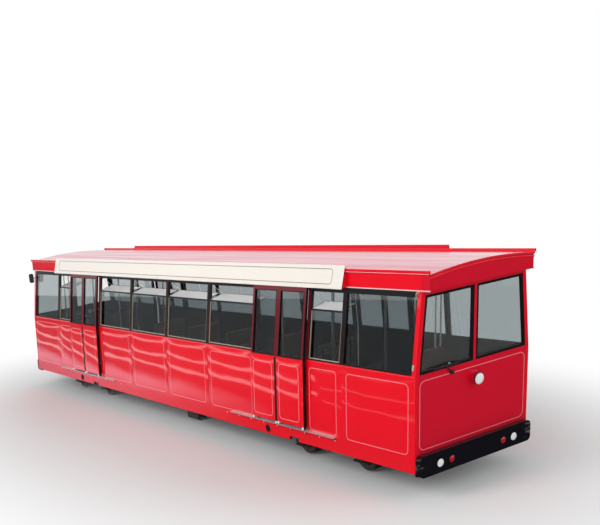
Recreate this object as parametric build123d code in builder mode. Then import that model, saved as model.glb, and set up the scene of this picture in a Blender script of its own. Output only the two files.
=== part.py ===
from build123d import *
import math
import os

os.makedirs("parts", exist_ok=True)

# A funicular car in millimetres. +X runs along the track to the uphill end, +Y is
# the left side when looking uphill, +Z stands square to the rails. z = 0 is under
# the wheel flanges. Posts, ends and doors are plumb on the hill, so here they lean
# uphill by the slope of the line, while sills, floor and roof run along the rails.

# Track and running gear
GAUGE = 1000
RAIL_HEAD = 60
TREAD_RADIUS = 225
FLANGE_DEPTH = 22
FLANGE_WIDTH = 20
TREAD_WIDTH = 70
ROLLER_WIDTH = 180
RIM_THICKNESS = 40
WEB_THICKNESS = 30
HUB_RADIUS = 85
AXLE_RADIUS = 60
JOURNAL_RADIUS = 45
WHEELBASE = 1500
BOGIE_FROM_CAB = 790
RUNNING_FIT = 0.3

# Car body
LEAN = 9.9
LENGTH = 13950
BODY_WIDTH = 2100
TUMBLEHOME = 104
WALL = 50
RAIL_TOP = FLANGE_DEPTH
SKIRT_BOTTOM = RAIL_TOP + 360
BUMPER_BOTTOM = RAIL_TOP + 306
LAMP_HEIGHT = RAIL_TOP + 448
FLOOR_TOP = RAIL_TOP + 600
FLOOR_THICKNESS = 30
BUMPER_TOP = RAIL_TOP + 610
HEADLAMP_HEIGHT = RAIL_TOP + 1463
WAIST = RAIL_TOP + 1675
WINDOW_BOTTOM = RAIL_TOP + 1695
VENT_HINGE = RAIL_TOP + 2454
WINDOW_TOP = RAIL_TOP + 2732
FASCIA_BOTTOM = RAIL_TOP + 2790
ROOF_SEAT = RAIL_TOP + 2990
ROOF_EDGE = RAIL_TOP + 3010
ROOF_RISE = 70
ROOF_SHEET = 25
ROOF_OVERHANG = 150

# Bays of one side, counted from the middle of the car to either end
BAY = 1545
LEAF_WIDTH = 725
NARROW_BAY = 850
POST = 60
CORNER_POST = 80

# Doors, which hang outside the wall
LEAF_GAP = 30
LEAF_THICKNESS = 40
LEAF_POST = 50
LEAF_FOOT = 30
LEAF_FOOT_WIDTH = 45
GUIDE_GAP = 6
LEAF_BOTTOM = FLOOR_TOP + GUIDE_GAP + LEAF_FOOT
LEAF_TOP = RAIL_TOP + 2840
MEETING_GAP = 6
DOOR_RAIL_BOTTOM = RAIL_TOP + 2880
DOOR_RAIL_HEIGHT = 40
DOOR_RAIL_THICKNESS = 12
HANGER_THICKNESS = 6
HANGER_RISE = 36
COVER_SHEET = 5
COVER_TOP = RAIL_TOP + 3110
COVER_BOTTOM = RAIL_TOP + 2780
COVER_PAST_CAB = 30
LIP_TOP = RAIL_TOP + 3060
LIP_HEIGHT = 45
LIP_WIDTH = 28
GUTTER_SHEET = 6

# Glass and frames
PANE = 6
FRAME_BAR = 22
FRAME_DEPTH = 34
FRAME_INSET = 4
MULLION = 44
VENT_TILT = 75

# Inside
SEAT_HEIGHT = 430
SEAT_DEPTH = 420
SEAT_BACK = 470
SEAT_BOARD = 30
AISLE = 500
POLE_RADIUS = 17

# Worked out from the sizes above
HALF = BODY_WIDTH / 2
HALF_LENGTH = LENGTH / 2
FASCIA_Y = HALF - TUMBLEHOME
TAPER = TUMBLEHOME / (FASCIA_BOTTOM - WAIST)
SLANT = math.tan(math.radians(LEAN))
SIN = math.sin(math.radians(LEAN))
COS = math.cos(math.radians(LEAN))
FAR = LENGTH
BUMPER_REACH = 100
DOOR_CENTRE = 2 * BAY + LEAF_WIDTH
DOOR_FAR_POST = DOOR_CENTRE + LEAF_WIDTH
CAB_POST = DOOR_FAR_POST + NARROW_BAY
BOGIE_CENTRE = CAB_POST - BOGIE_FROM_CAB
COVER_END = CAB_POST + COVER_PAST_CAB
AXLE_HEIGHT = TREAD_RADIUS + FLANGE_DEPTH
WHEEL_LINE = (GAUGE + RAIL_HEAD) / 2
FLOOR_BOTTOM = FLOOR_TOP - FLOOR_THICKNESS
LIP_BOTTOM = LIP_TOP - LIP_HEIGHT
LIP_Y = FASCIA_Y + LIP_WIDTH
CROWN = ROOF_EDGE + ROOF_RISE

# The height where a point keeps its own x, chosen so that the roof's reach uphill
# equals the bumper's reach downhill and the car is centred over the origin.
LEAN_ZERO = (CROWN + BUMPER_BOTTOM + (ROOF_OVERHANG - BUMPER_REACH) / SLANT) / 2

SIDES = ((1, "left"), (-1, "right"))
ENDS = ((1, "front"), (-1, "rear"))

# Windows of one side: first edge, last edge, and whether it has a vent
WINDOWS = [(n * BAY + POST / 2, (n + 1) * BAY - POST / 2, True) for n in (-2, -1, 0, 1)]
for end, name in ENDS:
    narrow = sorted((end * (DOOR_FAR_POST + POST / 2), end * (CAB_POST - POST / 2)))
    cab = sorted((end * (CAB_POST + POST / 2), end * (HALF_LENGTH - CORNER_POST)))
    WINDOWS.append((narrow[0], narrow[1], True))
    WINDOWS.append((cab[0], cab[1], False))


def slanted(s, z):
    """A point of the side elevation: s along the car at height z, with the lean."""
    return (s + (z - LEAN_ZERO) * SLANT, z)


def leaning(s0, s1, z0, z1):
    """The four corners of a panel whose ends are plumb and whose edges follow the rails."""
    return [slanted(s0, z0), slanted(s1, z0), slanted(s1, z1), slanted(s0, z1)]


def level(s, facing, along, up):
    """A point that is level on the hill: `along` from the plumb line through s, `up` from the floor."""
    x, z = slanted(s, FLOOR_TOP)
    return (x + facing * along * COS + up * SIN, z - facing * along * SIN + up * COS)


def end_plane(end, s):
    """The plumb plane across the car at s from the middle, facing out of that end."""
    x, z = slanted(end * s, 0)
    return Plane(origin=(x, 0, 0), x_dir=(0, end, 0), z_dir=(end * COS, 0, -end * SIN))


def skin_y(depth, z):
    """Half width of the body at height z, `depth` inside its outer face."""
    rise = min(max(z - WAIST, 0), FASCIA_BOTTOM - WAIST)
    return HALF - depth - TAPER * rise


def layer(side, near, far, low, high):
    """Cross-section of a layer of the side wall between two depths, bent at the waist."""
    bends = [low] + [z for z in (WAIST, FASCIA_BOTTOM) if low < z < high] + [high]
    outer = [(side * skin_y(near, z), z) for z in bends]
    inner = [(side * skin_y(far, z), z) for z in reversed(bends)]
    return outer + inner


def outward(side):
    """Extrusion from the middle plane past one side, on a plane that faces -Y."""
    return -side * BODY_WIDTH


# Underframe: two sills, the crossbearers between and beside them, and the deeper
# beams at the bogie pivots and at the rope anchor.
SILL_Y = 300
SILL_WIDTH = 60
SILL_BOTTOM = RAIL_TOP + 440
BEARER_BOTTOM = RAIL_TOP + 500
BEARER_WIDTH = 80
BEARER_FROM_CAB = 150
BOLSTER_WIDTH = 360
ANCHOR_FROM_END = 725
ANCHOR_BEAM = 300
ANCHOR_S = HALF_LENGTH - ANCHOR_FROM_END
BEARERS = [n * BAY for n in (-2, -1, 0, 1, 2)] + [BEARER_FROM_CAB - CAB_POST, CAB_POST - BEARER_FROM_CAB]
# Deep beams: place along the car, width
DEEP_BEAMS = [(-BOGIE_CENTRE, BOLSTER_WIDTH), (BOGIE_CENTRE, BOLSTER_WIDTH), (ANCHOR_S, ANCHOR_BEAM)]
END_BEAM_BACK = HALF_LENGTH - WALL


def on_floor(s):
    """Where a place counted along the car lies at floor level."""
    return slanted(s, FLOOR_TOP)[0]


with BuildPart() as sills:
    for y in (-SILL_Y, SILL_Y):
        with BuildSketch(Plane.XZ.offset(-y)):
            Polygon(*leaning(-END_BEAM_BACK, END_BEAM_BACK, SILL_BOTTOM, FLOOR_BOTTOM))
        extrude(amount=SILL_WIDTH / 2, both=True)
sills.part.label = "sills"
export_step(sills.part, "parts/sills.step")

with BuildPart() as crossbearers:
    with BuildSketch(Plane.XY.offset(BEARER_BOTTOM)):
        for s in BEARERS:
            with Locations((on_floor(s), 0)):
                Rectangle(BEARER_WIDTH, BODY_WIDTH - 2 * WALL)
        for y in (-SILL_Y, SILL_Y):
            with Locations((0, y)):
                Rectangle(LENGTH, SILL_WIDTH, mode=Mode.SUBTRACT)
    extrude(amount=FLOOR_BOTTOM - BEARER_BOTTOM)
crossbearers.part.label = "crossbearers"
export_step(crossbearers.part, "parts/crossbearers.step")

with BuildPart() as deep_beams:
    with BuildSketch(Plane.XY.offset(SILL_BOTTOM)):
        for s, width in DEEP_BEAMS:
            with Locations((on_floor(s), 0)):
                Rectangle(width, 2 * SILL_Y - SILL_WIDTH)
    extrude(amount=FLOOR_BOTTOM - SILL_BOTTOM)
deep_beams.part.label = "deep_beams"
export_step(deep_beams.part, "parts/deep_beams.step")

with BuildPart() as floor:
    with BuildSketch(Plane.XZ):
        Polygon(*leaning(-END_BEAM_BACK, END_BEAM_BACK, FLOOR_BOTTOM, FLOOR_TOP))
    extrude(amount=HALF - WALL, both=True)
floor.part.label = "floor"
export_step(floor.part, "parts/floor.step")

# Side walls: skirt, lower panels, sill strip, posts, lintel and fascia, joined along
# level seams, with the doorways cut from the floor to the window heads.
NOTCH_WIDTH = 250
NOTCH_HEIGHT = 60
NOTCH_FROM_DOOR = 360
for side, name in SIDES:
    with BuildPart() as side_wall:
        with BuildSketch(Plane.YZ):
            Polygon(*layer(side, 0, WALL, SKIRT_BOTTOM, ROOF_SEAT))
        extrude(amount=FAR, both=True)
        split(bisect_by=end_plane(1, HALF_LENGTH), keep=Keep.BOTTOM)
        split(bisect_by=end_plane(-1, HALF_LENGTH), keep=Keep.BOTTOM)
        with BuildSketch(Plane.XZ):
            for first, last, vented in WINDOWS:
                Polygon(*leaning(first, last, WINDOW_BOTTOM, WINDOW_TOP))
            for end, _ in ENDS:
                near, far = sorted((end * (2 * BAY + POST / 2), end * (DOOR_FAR_POST - POST / 2)))
                Polygon(*leaning(near, far, FLOOR_TOP, WINDOW_TOP))
                notch = end * DOOR_CENTRE + NOTCH_FROM_DOOR
                Polygon(
                    *leaning(
                        notch - NOTCH_WIDTH / 2, notch + NOTCH_WIDTH / 2,
                        SKIRT_BOTTOM, SKIRT_BOTTOM + NOTCH_HEIGHT,
                    )
                )
        extrude(amount=outward(side), mode=Mode.SUBTRACT)
        for seam in (FLOOR_TOP, WAIST, WINDOW_BOTTOM, WINDOW_TOP, FASCIA_BOTTOM):
            split(bisect_by=Plane.XY.offset(seam), keep=Keep.BOTH)
    side_wall.part.label = f"side_wall_{name}"
    export_step(side_wall.part, f"parts/side_wall_{name}.step")

# Frames of the side windows with the transom under each vent, their fixed panes,
# and the vents, hinged along the transom and dropped inward till almost flat.
TRANSOM = 24
PANE_DEPTH = FRAME_INSET + FRAME_DEPTH / 2
VENT_SIDE_GAP = 4
VENT_HEAD_GAP = 6
with BuildPart() as window_frames:
    with BuildSketch(Plane.XZ):
        for first, last, vented in WINDOWS:
            Polygon(*leaning(first, last, WINDOW_BOTTOM, WINDOW_TOP))
        for first, last, vented in WINDOWS:
            low, high = WINDOW_BOTTOM + FRAME_BAR, WINDOW_TOP - FRAME_BAR
            steps = [low, VENT_HINGE - TRANSOM, VENT_HINGE, high] if vented else [low, high]
            for z0, z1 in zip(steps[::2], steps[1::2]):
                Polygon(*leaning(first + FRAME_BAR, last - FRAME_BAR, z0, z1), mode=Mode.SUBTRACT)
    extrude(amount=BODY_WIDTH, both=True)
    with BuildSketch(Plane.YZ):
        for side, _ in SIDES:
            Polygon(*layer(side, FRAME_INSET, FRAME_INSET + FRAME_DEPTH, WAIST, FASCIA_BOTTOM))
    extrude(amount=FAR, both=True, mode=Mode.INTERSECT)
window_frames.part.label = "window_frames"
export_step(window_frames.part, "parts/window_frames.step")

with BuildPart() as side_glass:
    with BuildSketch(Plane.XZ):
        for first, last, vented in WINDOWS:
            high = VENT_HINGE - TRANSOM if vented else WINDOW_TOP - FRAME_BAR
            Polygon(*leaning(first + FRAME_BAR, last - FRAME_BAR, WINDOW_BOTTOM + FRAME_BAR, high))
    extrude(amount=BODY_WIDTH, both=True)
    with BuildSketch(Plane.YZ):
        for side, _ in SIDES:
            Polygon(*layer(side, PANE_DEPTH, PANE_DEPTH + PANE, WAIST, FASCIA_BOTTOM))
    extrude(amount=FAR, both=True, mode=Mode.INTERSECT)
side_glass.part.label = "side_glass"
export_step(side_glass.part, "parts/side_glass.step")

vent_foot = VENT_HINGE + RUNNING_FIT
vent_length = WINDOW_TOP - FRAME_BAR - VENT_HEAD_GAP - vent_foot
vent_in = vent_length * math.sin(math.radians(VENT_TILT))
vent_up = vent_length * math.cos(math.radians(VENT_TILT))
pane_out = PANE * math.cos(math.radians(VENT_TILT))
pane_up = PANE * math.sin(math.radians(VENT_TILT))
foot_y = skin_y(PANE_DEPTH, vent_foot)
with BuildPart() as vents:
    with BuildSketch(Plane.XZ):
        for first, last, vented in WINDOWS:
            if vented:
                inset = FRAME_BAR + VENT_SIDE_GAP
                Polygon(*leaning(first + inset, last - inset, vent_foot, vent_foot + vent_up + pane_up))
    extrude(amount=BODY_WIDTH, both=True)
    with BuildSketch(Plane.YZ):
        for side, _ in SIDES:
            Polygon(
                (side * foot_y, vent_foot),
                (side * (foot_y - vent_in), vent_foot + vent_up),
                (side * (foot_y - vent_in + pane_out), vent_foot + vent_up + pane_up),
                (side * (foot_y + pane_out), vent_foot + pane_up),
            )
    extrude(amount=FAR, both=True, mode=Mode.INTERSECT)
vents.part.label = "vents"
export_step(vents.part, "parts/vents.step")

# Sliding doors: two leaves to a doorway, hung by shoes from a rail under the cover,
# standing clear of the wall and bent at the waist as the wall is.
LEAF_NEAR = -(LEAF_GAP + LEAF_THICKNESS)
LEAF_FAR = -LEAF_GAP
LEAF_HEAD = 20
LEAF_WINDOW_TOP = WINDOW_TOP - LEAF_HEAD
RAIL_STAND = 12
RAIL_Y = FASCIA_Y + RAIL_STAND
HANGER_GAP = 6
HANGER_Y = RAIL_Y + DOOR_RAIL_THICKNESS + HANGER_GAP
SHOE_BOTTOM = DOOR_RAIL_BOTTOM + DOOR_RAIL_HEIGHT + RUNNING_FIT
HANGER_TOP = SHOE_BOTTOM + HANGER_RISE
HANGER_LAP = 20
HANGER_WIDTH = 70
HANGER_FROM_EDGE = 120
# Leaves of one doorway: name, first edge and last edge from the door's centre
LEAVES = [
    ("lower", -LEAF_WIDTH, -MEETING_GAP / 2),
    ("upper", MEETING_GAP / 2, LEAF_WIDTH),
]
for side, side_name in SIDES:
    for end, end_name in ENDS:
        for leaf_name, start, stop in LEAVES:
            first = end * DOOR_CENTRE + start
            last = end * DOOR_CENTRE + stop
            with BuildPart() as leaf:
                with BuildSketch(Plane.XZ):
                    Polygon(*leaning(first, last, LEAF_BOTTOM, LEAF_TOP))
                    for foot in (first, last - LEAF_FOOT_WIDTH):
                        Polygon(*leaning(foot, foot + LEAF_FOOT_WIDTH, LEAF_BOTTOM - LEAF_FOOT, LEAF_BOTTOM))
                    Polygon(
                        *leaning(first + LEAF_POST, last - LEAF_POST, WINDOW_BOTTOM, LEAF_WINDOW_TOP),
                        mode=Mode.SUBTRACT,
                    )
                extrude(amount=outward(side) * 2)
                with BuildSketch(Plane.YZ):
                    Polygon(*layer(side, LEAF_NEAR, LEAF_FAR, LEAF_BOTTOM - LEAF_FOOT, LEAF_TOP))
                extrude(amount=FAR, both=True, mode=Mode.INTERSECT)
                for s in (first + HANGER_FROM_EDGE, last - HANGER_FROM_EDGE):
                    near, far = s - HANGER_WIDTH / 2, s + HANGER_WIDTH / 2
                    with BuildSketch(Plane.XZ.offset(-side * HANGER_Y)):
                        Polygon(*leaning(near, far, LEAF_TOP - HANGER_LAP, HANGER_TOP))
                    extrude(amount=-side * HANGER_THICKNESS)
                    with BuildSketch(Plane.XZ.offset(-side * RAIL_Y)):
                        Polygon(*leaning(near, far, SHOE_BOTTOM, HANGER_TOP))
                    extrude(amount=-side * (HANGER_Y - RAIL_Y))
            node = f"door_{side_name}_{end_name}_{leaf_name}"
            leaf.part.label = node
            export_step(leaf.part, f"parts/{node}.step")

            pane_near = LEAF_NEAR + LEAF_THICKNESS / 2 - PANE / 2
            with BuildPart() as leaf_glass:
                with BuildSketch(Plane.XZ):
                    Polygon(*leaning(first + LEAF_POST, last - LEAF_POST, WINDOW_BOTTOM, LEAF_WINDOW_TOP))
                extrude(amount=outward(side) * 2)
                with BuildSketch(Plane.YZ):
                    Polygon(*layer(side, pane_near, pane_near + PANE, WINDOW_BOTTOM, LEAF_WINDOW_TOP))
                extrude(amount=FAR, both=True, mode=Mode.INTERSECT)
            leaf_glass.part.label = node + "_glass"
            export_step(leaf_glass.part, f"parts/{node}_glass.step")

# Door gear fixed to each side: hanging rails on spacers, and the sill guides that
# the leaves run over.
RAIL_REACH = 2 * LEAF_WIDTH
GUIDE_THICKNESS = 10
GUIDE_TOP = FLOOR_TOP
SPACER_WIDTH = 40
SPACERS = 5
with BuildPart() as door_rails:
    for side, _ in SIDES:
        for end, _ in ENDS:
            low, high = end * DOOR_CENTRE - RAIL_REACH, end * DOOR_CENTRE + RAIL_REACH
            with BuildSketch(Plane.XZ.offset(-side * RAIL_Y)):
                Polygon(*leaning(low, high, DOOR_RAIL_BOTTOM, DOOR_RAIL_BOTTOM + DOOR_RAIL_HEIGHT))
            extrude(amount=-side * DOOR_RAIL_THICKNESS)
            with BuildSketch(Plane.XZ.offset(-side * FASCIA_Y)):
                for n in range(SPACERS):
                    s = low + n * (high - low - SPACER_WIDTH) / (SPACERS - 1)
                    Polygon(
                        *leaning(
                            s, s + SPACER_WIDTH,
                            DOOR_RAIL_BOTTOM, DOOR_RAIL_BOTTOM + DOOR_RAIL_HEIGHT / 2,
                        )
                    )
            extrude(amount=-side * (RAIL_Y - FASCIA_Y))
door_rails.part.label = "door_rails"
export_step(door_rails.part, "parts/door_rails.step")

with BuildPart() as door_guides:
    for side, _ in SIDES:
        with BuildSketch(Plane.XZ.offset(-side * HALF)):
            for end, _ in ENDS:
                low, high = end * DOOR_CENTRE - RAIL_REACH, end * DOOR_CENTRE + RAIL_REACH
                Polygon(*leaning(low, high, GUIDE_TOP - GUIDE_THICKNESS, GUIDE_TOP))
        extrude(amount=-side * (LEAF_GAP + LEAF_THICKNESS))
door_guides.part.label = "door_guides"
export_step(door_guides.part, "parts/door_guides.step")

# Gutter lips along both roof edges, and the slanted covers over the door gear.
COVER_GAP = 2
COVER_BOTTOM_REACH = 104
COVER_TOP_Y = LIP_Y + COVER_SHEET + COVER_GAP
COVER_BOTTOM_Y = FASCIA_Y + COVER_BOTTOM_REACH


def cover_y(z):
    """Outer face of the slanted cover at height z."""
    return COVER_TOP_Y + (COVER_TOP - z) * (COVER_BOTTOM_Y - COVER_TOP_Y) / (COVER_TOP - COVER_BOTTOM)


with BuildPart() as gutters:
    with BuildSketch(Plane.YZ):
        for side, _ in SIDES:
            Polygon(
                (side * FASCIA_Y, ROOF_SEAT),
                (side * (FASCIA_Y + GUTTER_SHEET), ROOF_SEAT),
                (side * (FASCIA_Y + GUTTER_SHEET), LIP_BOTTOM),
                (side * LIP_Y, LIP_BOTTOM),
                (side * LIP_Y, LIP_TOP),
                (side * FASCIA_Y, LIP_TOP),
            )
    extrude(amount=FAR, both=True)
    split(bisect_by=end_plane(1, HALF_LENGTH + ROOF_OVERHANG), keep=Keep.BOTTOM)
    split(bisect_by=end_plane(-1, HALF_LENGTH + ROOF_OVERHANG), keep=Keep.BOTTOM)
gutters.part.label = "gutters"
export_step(gutters.part, "parts/gutters.step")

# The plane along the back of each slanted sheet, where the lid and caps meet it
cover_slope = (COVER_BOTTOM_Y - COVER_TOP_Y) / (COVER_TOP - COVER_BOTTOM)
for side, name in SIDES:
    sheet_back = Plane(
        origin=(0, side * (cover_y(LIP_TOP) - COVER_SHEET), LIP_TOP),
        x_dir=(1, 0, 0),
        z_dir=(0, side, cover_slope),
    )
    with BuildPart() as caps:
        with BuildSketch(Plane.YZ):
            Polygon(
                (side * FASCIA_Y, FASCIA_BOTTOM),
                (side * cover_y(FASCIA_BOTTOM), FASCIA_BOTTOM),
                (side * cover_y(ROOF_SEAT), ROOF_SEAT),
                (side * FASCIA_Y, ROOF_SEAT),
            )
        extrude(amount=FAR, both=True)
        split(bisect_by=end_plane(1, COVER_END), keep=Keep.BOTTOM)
        split(bisect_by=end_plane(-1, COVER_END), keep=Keep.BOTTOM)
        with BuildSketch(Plane.XZ):
            Polygon(*leaning(COVER_SHEET - COVER_END, COVER_END - COVER_SHEET, WAIST, COVER_TOP))
        extrude(amount=BODY_WIDTH, both=True, mode=Mode.SUBTRACT)
    with BuildPart() as door_cover:
        with BuildSketch(Plane.YZ):
            Polygon(
                (side * cover_y(COVER_TOP), COVER_TOP),
                (side * cover_y(COVER_BOTTOM), COVER_BOTTOM),
                (side * (cover_y(COVER_BOTTOM) - COVER_SHEET), COVER_BOTTOM),
                (side * (cover_y(COVER_TOP) - COVER_SHEET), COVER_TOP),
            )
            Polygon(
                (side * FASCIA_Y, LIP_TOP),
                (side * cover_y(LIP_TOP), LIP_TOP),
                (side * cover_y(LIP_TOP + COVER_SHEET), LIP_TOP + COVER_SHEET),
                (side * FASCIA_Y, LIP_TOP + COVER_SHEET),
            )
        extrude(amount=FAR, both=True)
        split(bisect_by=end_plane(1, COVER_END), keep=Keep.BOTTOM)
        split(bisect_by=end_plane(-1, COVER_END), keep=Keep.BOTTOM)
        add(caps.part)
        split(bisect_by=sheet_back, keep=Keep.BOTH)
    door_cover.part.label = f"door_cover_{name}"
    export_step(door_cover.part, f"parts/door_cover_{name}.step")

# Roof sheet: one shallow arch from gutter to gutter, seated flat on the side walls.
with BuildPart() as roof:
    with BuildSketch(Plane.YZ):
        with BuildLine():
            ThreePointArc((-FASCIA_Y, ROOF_EDGE), (0, CROWN), (FASCIA_Y, ROOF_EDGE))
            Polyline((FASCIA_Y, ROOF_EDGE), (FASCIA_Y, ROOF_SEAT), (FASCIA_Y - WALL, ROOF_SEAT))
            ThreePointArc(
                (FASCIA_Y - WALL, ROOF_SEAT),
                (0, CROWN - ROOF_SHEET),
                (WALL - FASCIA_Y, ROOF_SEAT),
            )
            Polyline((WALL - FASCIA_Y, ROOF_SEAT), (-FASCIA_Y, ROOF_SEAT), (-FASCIA_Y, ROOF_EDGE))
        make_face()
    extrude(amount=FAR, both=True)
    split(bisect_by=end_plane(1, HALF_LENGTH + ROOF_OVERHANG), keep=Keep.BOTTOM)
    split(bisect_by=end_plane(-1, HALF_LENGTH + ROOF_OVERHANG), keep=Keep.BOTTOM)
roof.part.label = "roof"
export_step(roof.part, "parts/roof.step")

# Ends: the panelled wall with two windscreens, and the arched header over it.
SCREEN_MARGIN = 62
SCREEN_FRAME = 36
SCREEN_FRAME_BACK = 44
HEADER_SHEET = 15
HEADER_BACK = 14
BUMPER_CORNER = 70
BUMPER_INSET = 10


def screen(hand, grow):
    """Outline of one windscreen seen along the car, grown or shrunk by `grow`."""
    low, high = WINDOW_BOTTOM - grow, WINDOW_TOP + grow
    inner = MULLION / 2 - grow
    return [
        (hand * inner, low),
        (hand * (skin_y(SCREEN_MARGIN - grow, WINDOW_BOTTOM)), low),
        (hand * (skin_y(SCREEN_MARGIN - grow, WINDOW_TOP)), high),
        (hand * inner, high),
    ]


with BuildPart() as screen_frames:
    with BuildSketch(Plane.YZ):
        for hand in (-1, 1):
            Polygon(*screen(hand, 0))
        for hand in (-1, 1):
            Polygon(*screen(hand, -SCREEN_FRAME), mode=Mode.SUBTRACT)
    extrude(amount=FAR, both=True)
    with BuildSketch(Plane.XZ):
        for end, _ in ENDS:
            slab = sorted((end * (HALF_LENGTH - FRAME_INSET), end * (HALF_LENGTH - SCREEN_FRAME_BACK)))
            Polygon(*leaning(*slab, WAIST, FASCIA_BOTTOM))
    extrude(amount=BODY_WIDTH, both=True, mode=Mode.INTERSECT)
screen_frames.part.label = "windscreen_frames"
export_step(screen_frames.part, "parts/windscreen_frames.step")

with BuildPart() as windscreens:
    with BuildSketch(Plane.YZ):
        for hand in (-1, 1):
            Polygon(*screen(hand, -SCREEN_FRAME))
    extrude(amount=FAR, both=True)
    with BuildSketch(Plane.XZ):
        for end, _ in ENDS:
            slab = sorted((end * (HALF_LENGTH - PANE_DEPTH), end * (HALF_LENGTH - PANE_DEPTH - PANE)))
            Polygon(*leaning(*slab, WAIST, FASCIA_BOTTOM))
    extrude(amount=BODY_WIDTH, both=True, mode=Mode.INTERSECT)
windscreens.part.label = "windscreens"
export_step(windscreens.part, "parts/windscreens.step")

for end, name in ENDS:
    with BuildPart() as end_wall:
        with BuildSketch(Plane.YZ):
            with BuildLine():
                Polyline(
                    (WALL - FASCIA_Y, ROOF_SEAT),
                    (WALL - FASCIA_Y, FASCIA_BOTTOM),
                    (WALL - HALF, WAIST),
                    (WALL - HALF, BUMPER_TOP),
                    (HALF - WALL, BUMPER_TOP),
                    (HALF - WALL, WAIST),
                    (FASCIA_Y - WALL, FASCIA_BOTTOM),
                    (FASCIA_Y - WALL, ROOF_SEAT),
                )
                ThreePointArc(
                    (FASCIA_Y - WALL, ROOF_SEAT),
                    (0, CROWN - ROOF_SHEET),
                    (WALL - FASCIA_Y, ROOF_SEAT),
                )
            make_face()
            for hand in (-1, 1):
                Polygon(*screen(hand, 0), mode=Mode.SUBTRACT)
        extrude(amount=FAR, both=True)
        split(bisect_by=end_plane(end, HALF_LENGTH), keep=Keep.BOTTOM)
        split(bisect_by=end_plane(end, HALF_LENGTH - WALL), keep=Keep.TOP)
        for seam in (WINDOW_BOTTOM, WINDOW_TOP, FASCIA_BOTTOM):
            split(bisect_by=Plane.XY.offset(seam), keep=Keep.BOTH)
    end_wall.part.label = f"end_wall_{name}"
    export_step(end_wall.part, f"parts/end_wall_{name}.step")

    with BuildPart() as header:
        with BuildSketch(Plane.YZ):
            with BuildLine():
                Polyline(
                    (WALL - FASCIA_Y, ROOF_SEAT),
                    (-FASCIA_Y, ROOF_SEAT),
                    (-FASCIA_Y, FASCIA_BOTTOM),
                    (FASCIA_Y, FASCIA_BOTTOM),
                    (FASCIA_Y, ROOF_SEAT),
                    (FASCIA_Y - WALL, ROOF_SEAT),
                )
                ThreePointArc(
                    (FASCIA_Y - WALL, ROOF_SEAT),
                    (0, CROWN - ROOF_SHEET),
                    (WALL - FASCIA_Y, ROOF_SEAT),
                )
            make_face()
        extrude(amount=FAR, both=True)
        header_face = HALF_LENGTH + ROOF_OVERHANG - HEADER_BACK
        split(bisect_by=end_plane(end, header_face), keep=Keep.BOTTOM)
        split(bisect_by=end_plane(end, HALF_LENGTH), keep=Keep.TOP)
        hollow_reach = end * (header_face - HEADER_SHEET)
        hollow_ends = sorted((end * (HALF_LENGTH - WALL), hollow_reach))
        with BuildSketch(Plane.XZ):
            Polygon(*leaning(*hollow_ends, FASCIA_BOTTOM + HEADER_SHEET, CROWN))
        extrude(amount=FASCIA_Y - HEADER_SHEET, both=True, mode=Mode.SUBTRACT)
    header.part.label = f"end_header_{name}"
    export_step(header.part, f"parts/end_header_{name}.step")

    # Bumper beam: fills in between the skirts and stands out before the panel
    with BuildPart() as bumper:
        with BuildSketch(Plane.XZ):
            ahead = sorted((end * HALF_LENGTH, end * (HALF_LENGTH + BUMPER_REACH)))
            Polygon(*leaning(*ahead, BUMPER_BOTTOM, BUMPER_TOP))
        extrude(amount=HALF - BUMPER_INSET, both=True)
        fillet(bumper.edges().filter_by(Axis.X), BUMPER_CORNER)
        with BuildSketch(Plane.XZ):
            behind = sorted((end * HALF_LENGTH, end * (HALF_LENGTH - WALL)))
            Polygon(*leaning(*behind, BUMPER_BOTTOM, BUMPER_TOP))
        extrude(amount=HALF - WALL, both=True)
    bumper.part.label = f"bumper_{name}"
    export_step(bumper.part, f"parts/bumper_{name}.step")

# Lamps: column 1 the name, 2 the places across, 3 height, 4 radius, 5 how far it
# stands out, 6 the taper of its lens, 7 the distance of its seat from the middle
WHITE_LAMP_Y = 693
RED_LAMP_Y = 484
LAMP_SEAT = HALF_LENGTH + BUMPER_REACH
LAMPS = [
    ("white_lamps", (-WHITE_LAMP_Y, WHITE_LAMP_Y), LAMP_HEIGHT, 65, 26, 20, LAMP_SEAT),
    ("red_lamps", (-RED_LAMP_Y, RED_LAMP_Y), LAMP_HEIGHT, 55, 26, 20, LAMP_SEAT),
    ("headlamps", (0,), HEADLAMP_HEIGHT, 88, 135, 2, HALF_LENGTH),
]
for lamp_name, places, height, radius, reach, taper, seat in LAMPS:
    with BuildPart() as lamp:
        for end, _ in ENDS:
            with BuildSketch(end_plane(end, seat)):
                for y in places:
                    with Locations((y, height / COS)):
                        Circle(radius)
            extrude(amount=reach, taper=taper)
    lamp.part.label = lamp_name
    export_step(lamp.part, f"parts/{lamp_name}.step")

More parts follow.
